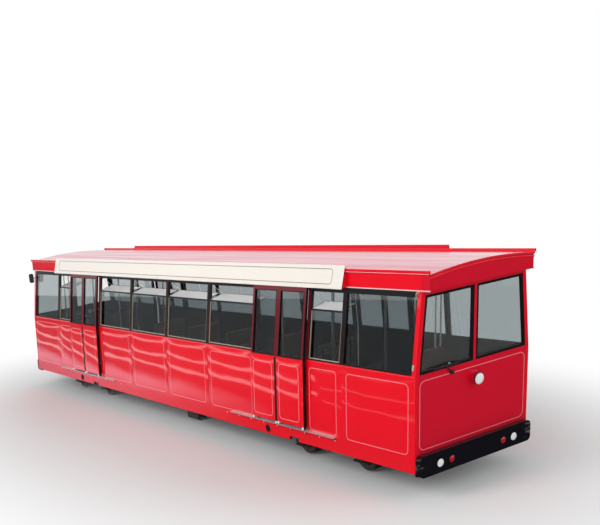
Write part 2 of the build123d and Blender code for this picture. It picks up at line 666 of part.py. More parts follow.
# Wipers: one at each end, before the driver's windscreen, parked along its sill.
# Places are counted across the end, as seen from outside, from the middle.
WIPER_PIVOT_X = -430
WIPER_PIVOT_Z = RAIL_TOP + 1630
WIPER_BOSS = 30
WIPER_BOSS_REACH = 36
WIPER_ARM_X = -540
WIPER_BLADE_Z = RAIL_TOP + 1728
WIPER_BLADE = 452
WIPER_BAR = 16
WIPER_STAND = 16
with BuildPart() as wipers:
    for end, _ in ENDS:
        with BuildSketch(end_plane(end, HALF_LENGTH)):
            with Locations((WIPER_PIVOT_X, WIPER_PIVOT_Z / COS)):
                Circle(WIPER_BOSS)
        extrude(amount=WIPER_BOSS_REACH)
        with BuildSketch(end_plane(end, HALF_LENGTH + WIPER_STAND)):
            arm_run = WIPER_ARM_X - WIPER_PIVOT_X
            arm_rise = (WIPER_BLADE_Z - WIPER_PIVOT_Z) / COS
            middle = (WIPER_PIVOT_X + arm_run / 2, WIPER_PIVOT_Z / COS + arm_rise / 2)
            with Locations(middle):
                Rectangle(math.hypot(arm_run, arm_rise), WIPER_BAR, rotation=math.degrees(math.atan2(arm_rise, arm_run)))
            with Locations((WIPER_ARM_X, WIPER_BLADE_Z / COS)):
                Rectangle(WIPER_BLADE, WIPER_BAR)
        extrude(amount=WIPER_BAR)
wipers.part.label = "wipers"
export_step(wipers.part, "parts/wipers.step")

# Mirrors outside the downhill corner posts, each a case on a short arm
MIRROR_Z = RAIL_TOP + 2620
MIRROR_S = -(HALF_LENGTH - CORNER_POST / 2)
MIRROR_HEIGHT = 220
MIRROR_WIDTH = 100
MIRROR_DEPTH = 36
MIRROR_CORNER = 40
MIRROR_Y = HALF + 10
MIRROR_ARM = 9
with BuildPart() as mirrors:
    for side, _ in SIDES:
        x, z = slanted(MIRROR_S, MIRROR_Z)
        with BuildSketch(Plane.YZ.offset(x)):
            with Locations((side * MIRROR_Y, z)):
                RectangleRounded(MIRROR_WIDTH, MIRROR_HEIGHT, MIRROR_CORNER)
        extrude(amount=MIRROR_DEPTH / 2, both=True)
        post_y = skin_y(0, MIRROR_Z - MIRROR_ARM)
        with BuildSketch(Plane.XZ.offset(-side * post_y)):
            with Locations((x, z)):
                Circle(MIRROR_ARM)
        extrude(amount=-side * (MIRROR_Y - MIRROR_WIDTH / 2 + 2 - post_y))
mirrors.part.label = "mirrors"
export_step(mirrors.part, "parts/mirrors.step")

# Benches, level on the hill: board pans and backs on plinths, back to back at the
# posts. Columns: place along the car, which way the sitter faces.
BENCHES = [(-2 * BAY, 1), (2 * BAY, -1)]
for n in (-1, 0, 1):
    BENCHES.append((n * BAY, 1))
    BENCHES.append((n * BAY, -1))
BACK_FROM_POST = 8
PLINTH = 60
SEAT_WALL_GAP = 5
with BuildPart() as seats:
    for side, _ in SIDES:
        for s, facing in BENCHES:
            front_edge = BACK_FROM_POST + SEAT_BOARD + SEAT_DEPTH
            with BuildSketch(Plane.XZ.offset(-side * AISLE / 2)):
                Polygon(
                    level(s, facing, BACK_FROM_POST, SEAT_HEIGHT - SEAT_BOARD),
                    level(s, facing, front_edge, SEAT_HEIGHT - SEAT_BOARD),
                    level(s, facing, front_edge, SEAT_HEIGHT),
                    level(s, facing, BACK_FROM_POST + SEAT_BOARD, SEAT_HEIGHT),
                    level(s, facing, BACK_FROM_POST + SEAT_BOARD, SEAT_HEIGHT + SEAT_BACK),
                    level(s, facing, BACK_FROM_POST, SEAT_HEIGHT + SEAT_BACK),
                )
                plinth_s = s + facing * (BACK_FROM_POST + SEAT_DEPTH / 2)
                top = level(s, facing, BACK_FROM_POST + SEAT_DEPTH / 2, SEAT_HEIGHT - SEAT_BOARD / 2)
                Polygon(*leaning(plinth_s - PLINTH / 2, plinth_s + PLINTH / 2, FLOOR_TOP, top[1]))
            extrude(amount=-side * (HALF - WALL - SEAT_WALL_GAP - AISLE / 2))
seats.part.label = "seats"
export_step(seats.part, "parts/seats.step")

# Grab poles from floor to ceiling beside the doorways and at the cab partitions
POLE_Y = 520
POLE_FROM_POST = 45
ceiling_rise = CROWN - ROOF_SHEET - ROOF_SEAT
ceiling_half = FASCIA_Y - WALL
ceiling_radius = (ceiling_half**2 + ceiling_rise**2) / (2 * ceiling_rise)
pole_top = ROOF_SEAT + ceiling_rise - ceiling_radius + math.sqrt(
    ceiling_radius**2 - (POLE_Y + POLE_RADIUS) ** 2
)
with BuildPart() as poles:
    for end, _ in ENDS:
        for s in (end * (2 * BAY + POLE_FROM_POST), end * (DOOR_FAR_POST - POLE_FROM_POST)):
            for y in (-POLE_Y, POLE_Y):
                x, z = slanted(s, FLOOR_TOP)
                axis_plane = Plane(origin=(x, y, z), x_dir=(0, 1, 0), z_dir=(SIN, 0, COS))
                with BuildSketch(axis_plane.offset(-POLE_RADIUS)):
                    Circle(POLE_RADIUS)
                extrude(amount=CROWN)
    split(bisect_by=Plane.XY.offset(FLOOR_TOP), keep=Keep.TOP)
    split(bisect_by=Plane.XY.offset(pole_top), keep=Keep.BOTTOM)
poles.part.label = "grab_poles"
export_step(poles.part, "parts/grab_poles.step")

# Cab at each end: a waist-high partition with a gangway, and the driver's desk
PARTITION = 30
GANGWAY = 600
DESK_DEPTH = 380
DESK_TOP = FLOOR_TOP + 880
DESK_SIDE_GAP = 150
PARTITION_TOP = WAIST - 100
with BuildPart() as partitions:
    for end, _ in ENDS:
        with BuildSketch(Plane.XZ):
            s0, s1 = sorted((end * CAB_POST, end * (CAB_POST + PARTITION)))
            Polygon(*leaning(s0, s1, FLOOR_TOP, PARTITION_TOP))
        extrude(amount=HALF - WALL, both=True)
    with BuildSketch(Plane.XZ):
        Polygon(*leaning(-HALF_LENGTH, HALF_LENGTH, FLOOR_TOP - PARTITION, WAIST))
    extrude(amount=GANGWAY / 2, both=True, mode=Mode.SUBTRACT)
partitions.part.label = "cab_partitions"
export_step(partitions.part, "parts/cab_partitions.step")

with BuildPart() as desks:
    for end, _ in ENDS:
        with BuildSketch(Plane.XZ):
            s0, s1 = sorted((end * (HALF_LENGTH - WALL), end * (HALF_LENGTH - WALL - DESK_DEPTH)))
            Polygon(*leaning(s0, s1, FLOOR_TOP, DESK_TOP))
        extrude(amount=HALF - WALL - DESK_SIDE_GAP, both=True)
desks.part.label = "driver_desks"
export_step(desks.part, "parts/driver_desks.step")

# Bogie pivots on the underframe, the bogie frames that turn on them, and the
# wheelsets: double-flanged wheels on the left, plain rollers on the right, as cars
# have that pass each other in a loop without moving points.
PIVOT_RADIUS = 60
CENTRE_PLATE = 150
FRAME_Y = 700
FRAME_WIDTH = 80
FRAME_BOTTOM = AXLE_HEIGHT + JOURNAL_RADIUS + 8
FRAME_TOP = SILL_BOTTOM - 62
BOGIE_BOLSTER = 300
BOGIE_BOLSTER_BOTTOM = FRAME_BOTTOM + 30
BOGIE_BOLSTER_TOP = SILL_BOTTOM - 37
AXLE_BOX = 180
AXLE_BOX_BOTTOM = AXLE_HEIGHT - 85
FRAME_OVERHANG = 170

with BuildPart() as pivots:
    for end, _ in ENDS:
        with BuildSketch(Plane.XY.offset(SILL_BOTTOM)):
            with Locations((on_floor(end * BOGIE_CENTRE), 0)):
                Circle(CENTRE_PLATE)
        extrude(amount=-(SILL_BOTTOM - BOGIE_BOLSTER_TOP - RUNNING_FIT))
        with BuildSketch(Plane.XY.offset(SILL_BOTTOM)):
            with Locations((on_floor(end * BOGIE_CENTRE), 0)):
                Circle(PIVOT_RADIUS)
        extrude(amount=-(SILL_BOTTOM - BOGIE_BOLSTER_BOTTOM))
pivots.part.label = "bogie_pivots"
export_step(pivots.part, "parts/bogie_pivots.step")

# Sections of the wheels, dished on their outer face: (distance from the wheel's
# middle, towards the outside of the car, and radius)
FLANGE_EDGE = TREAD_WIDTH / 2 + FLANGE_WIDTH
RIM_INNER = TREAD_RADIUS - RIM_THICKNESS
FLANGED_WHEEL = [
    (-FLANGE_EDGE, AXLE_RADIUS),
    (-FLANGE_EDGE, AXLE_HEIGHT),
    (-TREAD_WIDTH / 2, AXLE_HEIGHT),
    (-TREAD_WIDTH / 2, TREAD_RADIUS),
    (TREAD_WIDTH / 2, TREAD_RADIUS),
    (TREAD_WIDTH / 2, AXLE_HEIGHT),
    (FLANGE_EDGE, AXLE_HEIGHT),
    (FLANGE_EDGE, RIM_INNER),
    (WEB_THICKNESS / 2, HUB_RADIUS),
    (WEB_THICKNESS / 2, JOURNAL_RADIUS),
]
PLAIN_ROLLER = [
    (-ROLLER_WIDTH / 2, AXLE_RADIUS),
    (-ROLLER_WIDTH / 2, TREAD_RADIUS),
    (ROLLER_WIDTH / 2, TREAD_RADIUS),
    (ROLLER_WIDTH / 2, RIM_INNER),
    (WEB_THICKNESS / 2, HUB_RADIUS),
    (WEB_THICKNESS / 2, JOURNAL_RADIUS),
]
JOURNAL_END = FRAME_Y + FRAME_WIDTH / 2 + 5
axle_line = (
    [(-JOURNAL_END, 0), (-JOURNAL_END, JOURNAL_RADIUS)]
    + [(-WHEEL_LINE - y, r) for y, r in reversed(PLAIN_ROLLER)]
    + [(WHEEL_LINE + y, r) for y, r in FLANGED_WHEEL]
    + [(JOURNAL_END, JOURNAL_RADIUS), (JOURNAL_END, 0)]
)

for end, end_name in ENDS:
    bogie_x = on_floor(end * BOGIE_CENTRE)
    with BuildPart() as bogie_frame:
        for y in (-FRAME_Y, FRAME_Y):
            with BuildSketch(Plane.XZ.offset(-y)):
                with Locations((bogie_x, (FRAME_BOTTOM + FRAME_TOP) / 2)):
                    Rectangle(WHEELBASE + 2 * FRAME_OVERHANG, FRAME_TOP - FRAME_BOTTOM)
                for turn in (-1, 1):
                    box_centre = (AXLE_BOX_BOTTOM + FRAME_BOTTOM) / 2
                    with Locations((bogie_x + turn * WHEELBASE / 2, box_centre)):
                        Rectangle(AXLE_BOX, FRAME_BOTTOM - AXLE_BOX_BOTTOM)
            extrude(amount=FRAME_WIDTH / 2, both=True)
        with BuildSketch(Plane.XY.offset(BOGIE_BOLSTER_BOTTOM)):
            with Locations((bogie_x, 0)):
                Rectangle(BOGIE_BOLSTER, 2 * FRAME_Y)
        extrude(amount=BOGIE_BOLSTER_TOP - BOGIE_BOLSTER_BOTTOM)
        with BuildSketch(Plane.XY.offset(BOGIE_BOLSTER_BOTTOM)):
            with Locations((bogie_x, 0)):
                Circle(PIVOT_RADIUS + RUNNING_FIT)
        extrude(amount=BOGIE_BOLSTER_TOP - BOGIE_BOLSTER_BOTTOM, mode=Mode.SUBTRACT)
        with BuildSketch(Plane.XZ):
            for turn in (-1, 1):
                with Locations((bogie_x + turn * WHEELBASE / 2, AXLE_HEIGHT)):
                    Circle(JOURNAL_RADIUS + RUNNING_FIT)
        extrude(amount=BODY_WIDTH, both=True, mode=Mode.SUBTRACT)
    bogie_frame.part.label = f"bogie_frame_{end_name}"
    export_step(bogie_frame.part, f"parts/bogie_frame_{end_name}.step")

    for turn, axle_name in ((-1, "lower"), (1, "upper")):
        axle_x = bogie_x + turn * WHEELBASE / 2
        with BuildPart() as wheelset:
            with BuildSketch(Plane.YZ.offset(axle_x)):
                Polygon(*[(y, AXLE_HEIGHT + r) for y, r in axle_line])
            revolve(axis=Axis((axle_x, 0, AXLE_HEIGHT), (0, 1, 0)))
        wheelset.part.label = f"wheelset_{end_name}_{axle_name}"
        export_step(wheelset.part, f"parts/wheelset_{end_name}_{axle_name}.step")

# Rope anchor: a clevis under the uphill beam, bored for the haul rope's pin
ANCHOR_PLATE = 25
ANCHOR_GAP = 60
ANCHOR_LENGTH = 200
ANCHOR_BOTTOM = RAIL_TOP + 250
ANCHOR_PIN_RADIUS = 25
ANCHOR_PIN_HEIGHT = ANCHOR_BOTTOM + 60
with BuildPart() as anchor:
    for hand in (-1, 1):
        with BuildSketch(Plane.XZ.offset(-hand * ANCHOR_GAP / 2)):
            with Locations((on_floor(ANCHOR_S), (ANCHOR_BOTTOM + SILL_BOTTOM) / 2)):
                Rectangle(ANCHOR_LENGTH, SILL_BOTTOM - ANCHOR_BOTTOM)
            with Locations((on_floor(ANCHOR_S), ANCHOR_PIN_HEIGHT)):
                Circle(ANCHOR_PIN_RADIUS, mode=Mode.SUBTRACT)
        extrude(amount=-hand * ANCHOR_PLATE)
anchor.part.label = "rope_anchor"
export_step(anchor.part, "parts/rope_anchor.step")

# Rail brakes: jaws that straddle each rail, hung from the middle crossbearer
JAW_LENGTH = 420
JAW_WIDTH = 170
JAW_OPENING = 80
JAW_BOTTOM = RAIL_TOP + 10
JAW_CROWN = 150
JAW_TOP = 230
HANGER_LENGTH = 120
with BuildPart() as rail_brakes:
    for y in (-WHEEL_LINE, WHEEL_LINE):
        with BuildSketch(Plane.YZ.offset(on_floor(0) - JAW_LENGTH / 2)):
            with Locations((y, (JAW_BOTTOM + JAW_TOP) / 2)):
                Rectangle(JAW_WIDTH, JAW_TOP - JAW_BOTTOM)
            with Locations((y, (JAW_BOTTOM + JAW_CROWN) / 2)):
                Rectangle(JAW_OPENING, JAW_CROWN - JAW_BOTTOM, mode=Mode.SUBTRACT)
        extrude(amount=JAW_LENGTH)
        with BuildSketch(Plane.XY.offset(JAW_TOP)):
            with Locations((on_floor(0), y)):
                Rectangle(BEARER_WIDTH, JAW_WIDTH / 2)
        extrude(amount=BEARER_BOTTOM - JAW_TOP)
rail_brakes.part.label = "rail_brakes"
export_step(rail_brakes.part, "parts/rail_brakes.step")
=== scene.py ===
# %% [markdown]
# A funicular car, dressed for its portrait. The solids come in packed and already in their places, so this
# lesson is about what a painter, a glazier and a trimmer would add: enamel, glass, rubber, beads, rivets,
# lamps and benches. Every length is in metres, and the car's own frame is the scene's frame.

import math

import bmesh
import bpy
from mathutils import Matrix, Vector


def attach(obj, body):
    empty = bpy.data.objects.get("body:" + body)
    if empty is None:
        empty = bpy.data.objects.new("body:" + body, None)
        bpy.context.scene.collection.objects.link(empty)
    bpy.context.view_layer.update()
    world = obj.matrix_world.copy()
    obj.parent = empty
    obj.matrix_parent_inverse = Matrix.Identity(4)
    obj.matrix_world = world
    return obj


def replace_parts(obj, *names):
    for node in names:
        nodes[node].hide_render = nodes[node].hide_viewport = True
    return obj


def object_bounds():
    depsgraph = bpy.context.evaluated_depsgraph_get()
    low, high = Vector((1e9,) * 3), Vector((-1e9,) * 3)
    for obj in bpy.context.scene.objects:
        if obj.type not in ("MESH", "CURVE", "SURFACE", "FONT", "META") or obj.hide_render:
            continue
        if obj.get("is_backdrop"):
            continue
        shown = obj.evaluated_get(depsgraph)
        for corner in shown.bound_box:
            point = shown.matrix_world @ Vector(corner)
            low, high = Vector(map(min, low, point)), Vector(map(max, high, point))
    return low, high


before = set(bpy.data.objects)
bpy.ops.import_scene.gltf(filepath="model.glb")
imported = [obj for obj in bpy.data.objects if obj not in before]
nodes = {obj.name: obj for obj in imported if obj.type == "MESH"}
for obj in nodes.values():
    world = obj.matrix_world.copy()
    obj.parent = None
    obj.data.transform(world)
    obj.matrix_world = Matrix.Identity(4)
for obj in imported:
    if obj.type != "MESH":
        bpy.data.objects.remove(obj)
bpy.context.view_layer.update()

# %% [markdown]
# The real car stands on a hill, so its posts are plumb there while its sills follow the slope. In the car's
# own frame the sills are level, and everything plumb leans uphill. These few sizes repeat what the solids
# were made with, so that trim can be placed by a distance along the car and a height. A side or an end is
# told by its sign: 1 is the left or the front, -1 the right or the rear.

# %% The sizes that trim is placed by
TREAD = 0.022
HALF = 1.05
TUMBLEHOME = 0.104
HALF_LENGTH = 6.975
WAIST = TREAD + 1.675
FASCIA_BOTTOM = TREAD + 2.79
FASCIA_Y = HALF - TUMBLEHOME
WINDOW_BOTTOM = TREAD + 1.695
WINDOW_TOP = TREAD + 2.732
VENT_HINGE = TREAD + 2.454
FLOOR_TOP = TREAD + 0.6
ROOF_EDGE = TREAD + 3.01
CROWN = TREAD + 3.08
OVERHANG = 0.15
BUMPER_REACH = 0.1
BUMPER_BOTTOM = TREAD + 0.306
BAY = 1.545
LEAF = 0.725
DOOR_CENTRE = 2 * BAY + LEAF
DOOR_FAR = DOOR_CENTRE + LEAF
CAB_POST = DOOR_FAR + 0.85
COVER_END = CAB_POST + 0.03
LEAF_FACE = 0.07
COVER_TOP = TREAD + 3.11
COVER_BOTTOM = TREAD + 2.78
COVER_TOP_Y = 0.981
COVER_SLOPE = (HALF - COVER_TOP_Y) / (COVER_TOP - COVER_BOTTOM)
LEAN = math.radians(9.9)
SLANT = math.tan(LEAN)
SIN = math.sin(LEAN)
COS = math.cos(LEAN)
LEAN_ZERO = (CROWN + BUMPER_BOTTOM + (OVERHANG - BUMPER_REACH) / SLANT) / 2
QUARTER = math.pi / 2
BOTH = (1, -1)
SIDES = {"left": 1, "right": -1}
ENDS = {"front": 1, "rear": -1}
print("lean zero", round(LEAN_ZERO, 4))


def lean(z):
    """How far uphill the lean carries a point at height z."""
    return (z - LEAN_ZERO) * SLANT


def at(s, y, z):
    """The point at s along the car, y across and z up."""
    return Vector((s + lean(z), y, z))


def skin(z, proud=0.0):
    """Half width of the body at height z, `proud` outside its face."""
    rise = min(max(z - WAIST, 0.0), FASCIA_BOTTOM - WAIST)
    return HALF + proud - TUMBLEHOME * rise / (FASCIA_BOTTOM - WAIST)


def on_side(side, extra=0.0):
    """A placer for trim on one side: (along, height, proud) to a point."""
    return lambda s, z, proud: at(s, side * skin(z, extra + proud), z)


def on_end(end):
    """A placer for trim on one end: (across as seen from outside, height, proud) to a point."""
    return lambda u, z, proud: at(end * (HALF_LENGTH + proud), end * u, z)


def span(end, near, far):
    """Two distances from the middle as a run along the car, in the half that `end` names."""
    return sorted((end * near, end * far))


def placed(name, data):
    """A new object in the scene with this mesh, lamp or camera."""
    thing = bpy.data.objects.new(name, data)
    bpy.context.scene.collection.objects.link(thing)
    return thing


# %% [markdown]
# The camera stands a little uphill of the car and above its floor, and is rolled because the car is on a
# slope. Its place, turn and lens were solved from straight edges of the car, so the render can be laid over
# the photograph.

# %% Camera
camera = placed("camera", bpy.data.cameras.new("camera"))
camera.location = (16.5515, -9.1327, 4.5771)
camera.rotation_euler = [math.radians(a) for a in (84.36227, 6.90881, 55.11188)]
camera.data.lens = 59.7452
camera.data.sensor_width = 36
camera.data.clip_end = 400
bpy.context.scene.camera = camera
bpy.context.scene.view_settings.view_transform = "Standard"
print("camera lens", camera.data.lens)

# %% [markdown]
# Materials, the world and the repeated pieces are all made of nodes. `wired` makes one node, with its
# settings made and its inputs set or linked, and a node given as a value stands for its first output. A
# `Sum` lets arithmetic on a socket be written as arithmetic, one Math node a step.


# %% Helpers for nodes
def socket_of(value):
    """The socket of a Sum, or a node's first output. Anything else stays as it is."""
    value = getattr(value, "socket", value)
    return value.outputs[0] if isinstance(value, bpy.types.Node) else value


def wired(tree, kind, links=None, **settings):
    """A node with its settings made and its inputs linked or set."""
    node = tree.nodes.new(kind)
    for label, value in settings.items():
        setattr(node, label, value)
    for label, value in (links or {}).items():
        value = socket_of(value)
        if isinstance(value, bpy.types.NodeSocket):
            tree.links.new(value, node.inputs[label])
        else:
            node.inputs[label].default_value = value
    return node


class Sum:
    """A socket that sums can be written with."""

    def __init__(self, tree, value):
        self.tree, self.socket = tree, socket_of(value)

    def math(self, kind, *others):
        """One Math node of this kind on the socket and the others."""
        links = dict(enumerate((self, *others)))
        return Sum(self.tree, wired(self.tree, "ShaderNodeMath", links, operation=kind))

    def clamped(self):
        """The same sum, kept between 0 and 1."""
        self.socket.node.use_clamp = True
        return self

    def __rsub__(self, other):
        return Sum(self.tree, other).math("SUBTRACT", self)


# Each sign of arithmetic is one kind of Math node.
SIGNS = {
    "__add__": "ADD", "__sub__": "SUBTRACT", "__mul__": "MULTIPLY", "__truediv__": "DIVIDE",
    "__gt__": "GREATER_THAN", "__abs__": "ABSOLUTE",
}
for sign, kind in SIGNS.items():
    setattr(Sum, sign, lambda self, *others, kind=kind: self.math(kind, *others))
print("signs that a Sum takes", len(SIGNS) + 1)


def on_object(tree):
    """The sums X, Y and Z of Object coordinates."""
    coord = wired(tree, "ShaderNodeTexCoord")
    split = wired(tree, "ShaderNodeSeparateXYZ", {0: coord.outputs["Object"]})
    return [Sum(tree, socket) for socket in split.outputs]


def ray_is(tree, kind, *others):
    """1 where the ray is of this kind or of one of the others."""
    path = wired(tree, "ShaderNodeLightPath")
    seen = Sum(tree, path.outputs[f"Is {kind} Ray"])
    for other in others:
        seen = seen.math("MAXIMUM", path.outputs[f"Is {other} Ray"])
    return seen


def mapped(tree, value, start, stop, low=0.0, high=1.0, kind="LINEAR"):
    """A Map Range node from start..stop to low..high."""
    links = {"Value": value, "From Min": start, "From Max": stop, "To Min": low, "To Max": high}
    return Sum(tree, wired(tree, "ShaderNodeMapRange", links, interpolation_type=kind))


def ramp(tree, value, stops):
    """A colour ramp with stops {position: colour}."""
    node = wired(tree, "ShaderNodeValToRGB", {0: value})
    elements = node.color_ramp.elements
    (first, *between, last) = stops.items()
    for element, (position, colour) in zip(elements, (first, last)):
        element.position, element.color = position, (*colour, 1)
    for position, colour in between:
        elements.new(position).color = (*colour, 1)
    return node


def blend(tree, factor, first, second):
    """A Mix Shader node."""
    return wired(tree, "ShaderNodeMixShader", {0: factor, 1: first, 2: second})


# %% [markdown]
# Enamel shows its gloss only if there is something to mirror. The world is a soft pale sky over a pale
# floor. One large lamp high on the near side models the form, and a weaker one fills in the uphill end; the
# large one is hidden from reflections, or it would glare on the roof. Long low strips beside the car, which
# only reflections see, draw the pale bands on its panels. The background stays white through Light Path,
# without more light on the car.

# %% World and lamps
world = bpy.data.worlds.new("studio")
bpy.context.scene.world = world
world.use_nodes = True
sky_tree = world.node_tree
sky_tree.nodes.clear()
direction = wired(sky_tree, "ShaderNodeTexCoord")
split = wired(sky_tree, "ShaderNodeSeparateXYZ", {0: direction.outputs["Generated"]})
SKY = {0.0: (1.0, 1.0, 1.0), 0.3: (0.90, 0.92, 0.95), 0.7: (0.30, 0.31, 0.32)}
sky_colour = ramp(sky_tree, split.outputs["Z"], SKY)
sky = wired(sky_tree, "ShaderNodeBackground", {"Color": sky_colour, "Strength": 1.1})
backdrop = wired(sky_tree, "ShaderNodeBackground", {"Color": (1, 1, 1, 1), "Strength": 1.0})
shown = blend(sky_tree, ray_is(sky_tree, "Camera", "Transmission"), sky, backdrop)
wired(sky_tree, "ShaderNodeOutputWorld", {0: shown})


def soft_lamp(name, place, aim, size, power):
    """A square soft lamp at `place`, turned to `aim`."""
    lamp = placed(name, bpy.data.lights.new(name, "AREA"))
    lamp.data.shape = "SQUARE"
    lamp.data.size = size
    lamp.data.energy = power
    lamp.location = place
    lamp.rotation_euler = (Vector(aim) - Vector(place)).to_track_quat("-Z", "Y").to_euler()
    return lamp


near_side_lamp = soft_lamp("near_side_lamp", (2.0, -16.0, 12.0), (0, 0, 1.2), 9.0, 1500)
near_side_lamp.visible_glossy = False
soft_lamp("uphill_lamp", (18.0, 4.0, 9.0), (5, 0, 1.5), 7.0, 260)
STRIP_Y = -3.3
STRIP_TURN = 0.015
STRIP_PIVOT = -8
WHOLE_RUN = 25
STRIP_ROWS = ((0.13, 0.09, 11), (0.46, 0.08, 10), (0.80, 0.05, 6))
STRIP_RUNS = ((-9.625, 21.75, 1.0, 1.0), (2.9, 3.3, 0.35, 0.6))
for height, wide, power in STRIP_ROWS:
    for middle, run, share, dim in STRIP_RUNS:
        place = (middle, STRIP_Y - STRIP_TURN * (middle - STRIP_PIVOT), height)
        strength = power * run / WHOLE_RUN * share * dim
        strip_lamp = soft_lamp("strip_lamp", place, (middle, 0, height + 0.4), run, strength)
        strip_lamp.data.shape = "RECTANGLE"
        strip_lamp.data.size_y = wide * share
        strip_lamp.rotation_euler.rotate_axis("Z", STRIP_TURN)
        strip_lamp.visible_camera = False
        strip_lamp.visible_transmission = False
        strip_lamp.visible_diffuse = False
print("world and lamps are in")

# %% [markdown]
# The floor is three things in one. To light and shadow it is pale and matt. To the camera it fades to white
# away from the car. Reflections see it dark, with one pale zone beside the downhill half, where the enamel
# turns pink.

# %% Floor
FLOOR_REACH = 70
floor_mesh = bpy.data.meshes.new("studio_floor")
floor_corners = [(x * FLOOR_REACH, y * FLOOR_REACH, 0) for x, y in ((-1, -1), (1, -1), (1, 1), (-1, 1))]
floor_mesh.from_pydata(floor_corners, [], [(0, 1, 2, 3)])
studio_floor = placed("studio_floor", floor_mesh)
floor_look = bpy.data.materials.new("studio_floor")
floor_look.use_nodes = True
ground = floor_look.node_tree
ground.nodes.clear()
floor_x, floor_y, floor_z = on_object(ground)
ZONE_NEAR, ZONE_FAR = 2.05, 3.05
ZONE_FULL, ZONE_END = -4.0, 1.5
DARK_GROUND = 0.03
FADE_NEAR, FADE_FAR = 2.6, 6.5
PALE_ZONE = {0.0: (0.42,) * 3, 0.35: (0.95,) * 3, 0.6: (0.95,) * 3, 1.0: (0.0,) * 3}
across = ramp(ground, mapped(ground, abs(floor_y), ZONE_NEAR, ZONE_FAR), PALE_ZONE)
downhill = mapped(ground, floor_x, ZONE_FULL, ZONE_END, 1.0, 0.0)
zone = Sum(ground, across).math("MULTIPLY_ADD", downhill, DARK_GROUND)
mirrored = wired(ground, "ShaderNodeEmission", {"Color": (1.0, 0.94, 1.12, 1), "Strength": zone})
matt = wired(ground, "ShaderNodeBsdfDiffuse", {"Color": (0.86, 0.86, 0.85, 1)})
glossy = (ray_is(ground, "Glossy") - ray_is(ground, "Transmission")).clamped()
plain = blend(ground, glossy, matt, mirrored)
away = wired(ground, "ShaderNodeCombineXYZ", {"X": floor_x * 0.5, "Y": floor_y, "Z": floor_z})
distance = wired(ground, "ShaderNodeVectorMath", {0: away}, operation="LENGTH").outputs["Value"]
fade = mapped(ground, distance, FADE_NEAR, FADE_FAR, kind="SMOOTHSTEP")
seen = ray_is(ground, "Camera", "Transmission")
white = wired(ground, "ShaderNodeEmission")
swept = blend(ground, fade * seen, plain, white)
wired(ground, "ShaderNodeOutputMaterial", {"Surface": swept})
floor_mesh.materials.append(floor_look)
studio_floor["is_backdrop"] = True
print("the floor is in")

# %% [markdown]
# Effects that several finishes share are node groups, each built once. `road_dirt` gives a mask that grows
# towards the sills and breaks up with noise; `sheet_ripple` gives the long shallow waves of thin panels,
# which bend the reflections as oil-canned steel does; `grain` gives fine speckle for roughness and bump.


# %% Shader groups for wear
def new_group(name, output, inputs):
    """A shader group with float inputs {name: default}: its tree, its inputs as sums, and what closes it."""
    tree = bpy.data.node_groups.new(name, "ShaderNodeTree")
    for label, default in inputs.items():
        socket = tree.interface.new_socket(label, in_out="INPUT", socket_type="NodeSocketFloat")
        socket.default_value = default
    tree.interface.new_socket(output, in_out="OUTPUT", socket_type="NodeSocketFloat")
    given = tree.nodes.new("NodeGroupInput").outputs
    out = tree.nodes.new("NodeGroupOutput").inputs
    sums = [Sum(tree, given[label]) for label in inputs]
    return tree, sums, lambda result: tree.links.new(result.socket, out[0])


def noise(tree, scale, detail, stretch=(1, 1, 1)):
    """Noise on Object coordinates, stretched by a Mapping node."""
    coord = wired(tree, "ShaderNodeTexCoord")
    mapping = wired(tree, "ShaderNodeMapping", {"Vector": coord.outputs["Object"], "Scale": stretch})
    links = {"Vector": mapping, "Scale": scale, "Detail": detail}
    return Sum(tree, wired(tree, "ShaderNodeTexNoise", links))


tree, (start, amount, scale), close = new_group(
    "road_dirt", "Mask", {"Start Height": 1.1, "Amount": 0.5, "Scale": 5.0}
)
x, y, z = on_object(tree)
blotch = noise(tree, scale, 6, (0.35, 1, 1.4))
close(((start - z).clamped() * (blotch * 1.8) * amount).clamped())

tree, (scale,), close = new_group("sheet_ripple", "Height", {"Scale": 1.0})
long_waves = noise(tree, scale, 1, (0.9, 1.0, 3.2))
fine_waves = noise(tree, scale * 4.0, 1, (1.0, 1.0, 1.2))
close(long_waves + fine_waves * 0.12)

# Rain leaves long pale streaks along a roof, and knocks leave pale scuffs near the ends of a bumper.
tree, (scale,), close = new_group("run_streaks", "Mask", {"Scale": 2.0})
close(((noise(tree, scale, 3, (0.10, 2.6, 1.0)) - 0.42) * 4.0).clamped())

tree, (start, scale), close = new_group("end_scuffs", "Mask", {"From": 0.90, "Scale": 9.0})
x, y, z = on_object(tree)
specks = ((noise(tree, scale, 8, (1.0, 0.6, 2.5)) - 0.58) * 9.0).clamped()
close(specks * ((abs(y) - start) * 5.0).clamped())

tree, (scale,), close = new_group("grain", "Speckle", {"Scale": 300.0})
close(noise(tree, scale, 4))
print("groups for wear", [group.name for group in bpy.data.node_groups])

# %% [markdown]
# Other groups follow the shape of the body, in Object coordinates with the lean taken off. Between two
# posts a thin panel stands a little proud, like a pillow. Its height follows the bay along the car and the
# distance between skirt and waist. The count of bays is a whole number at every post, so its sine is nought
# there; Leaf at 1 counts door leaves instead. The other groups are masks that tell the outside of a sheet
# from its inside, back or cut end.


# %% Shader groups for the body's shape
def along_car(x, z):
    """The distance along the car from its middle, the lean taken off."""
    return abs(x - (z - LEAN_ZERO) * SLANT)


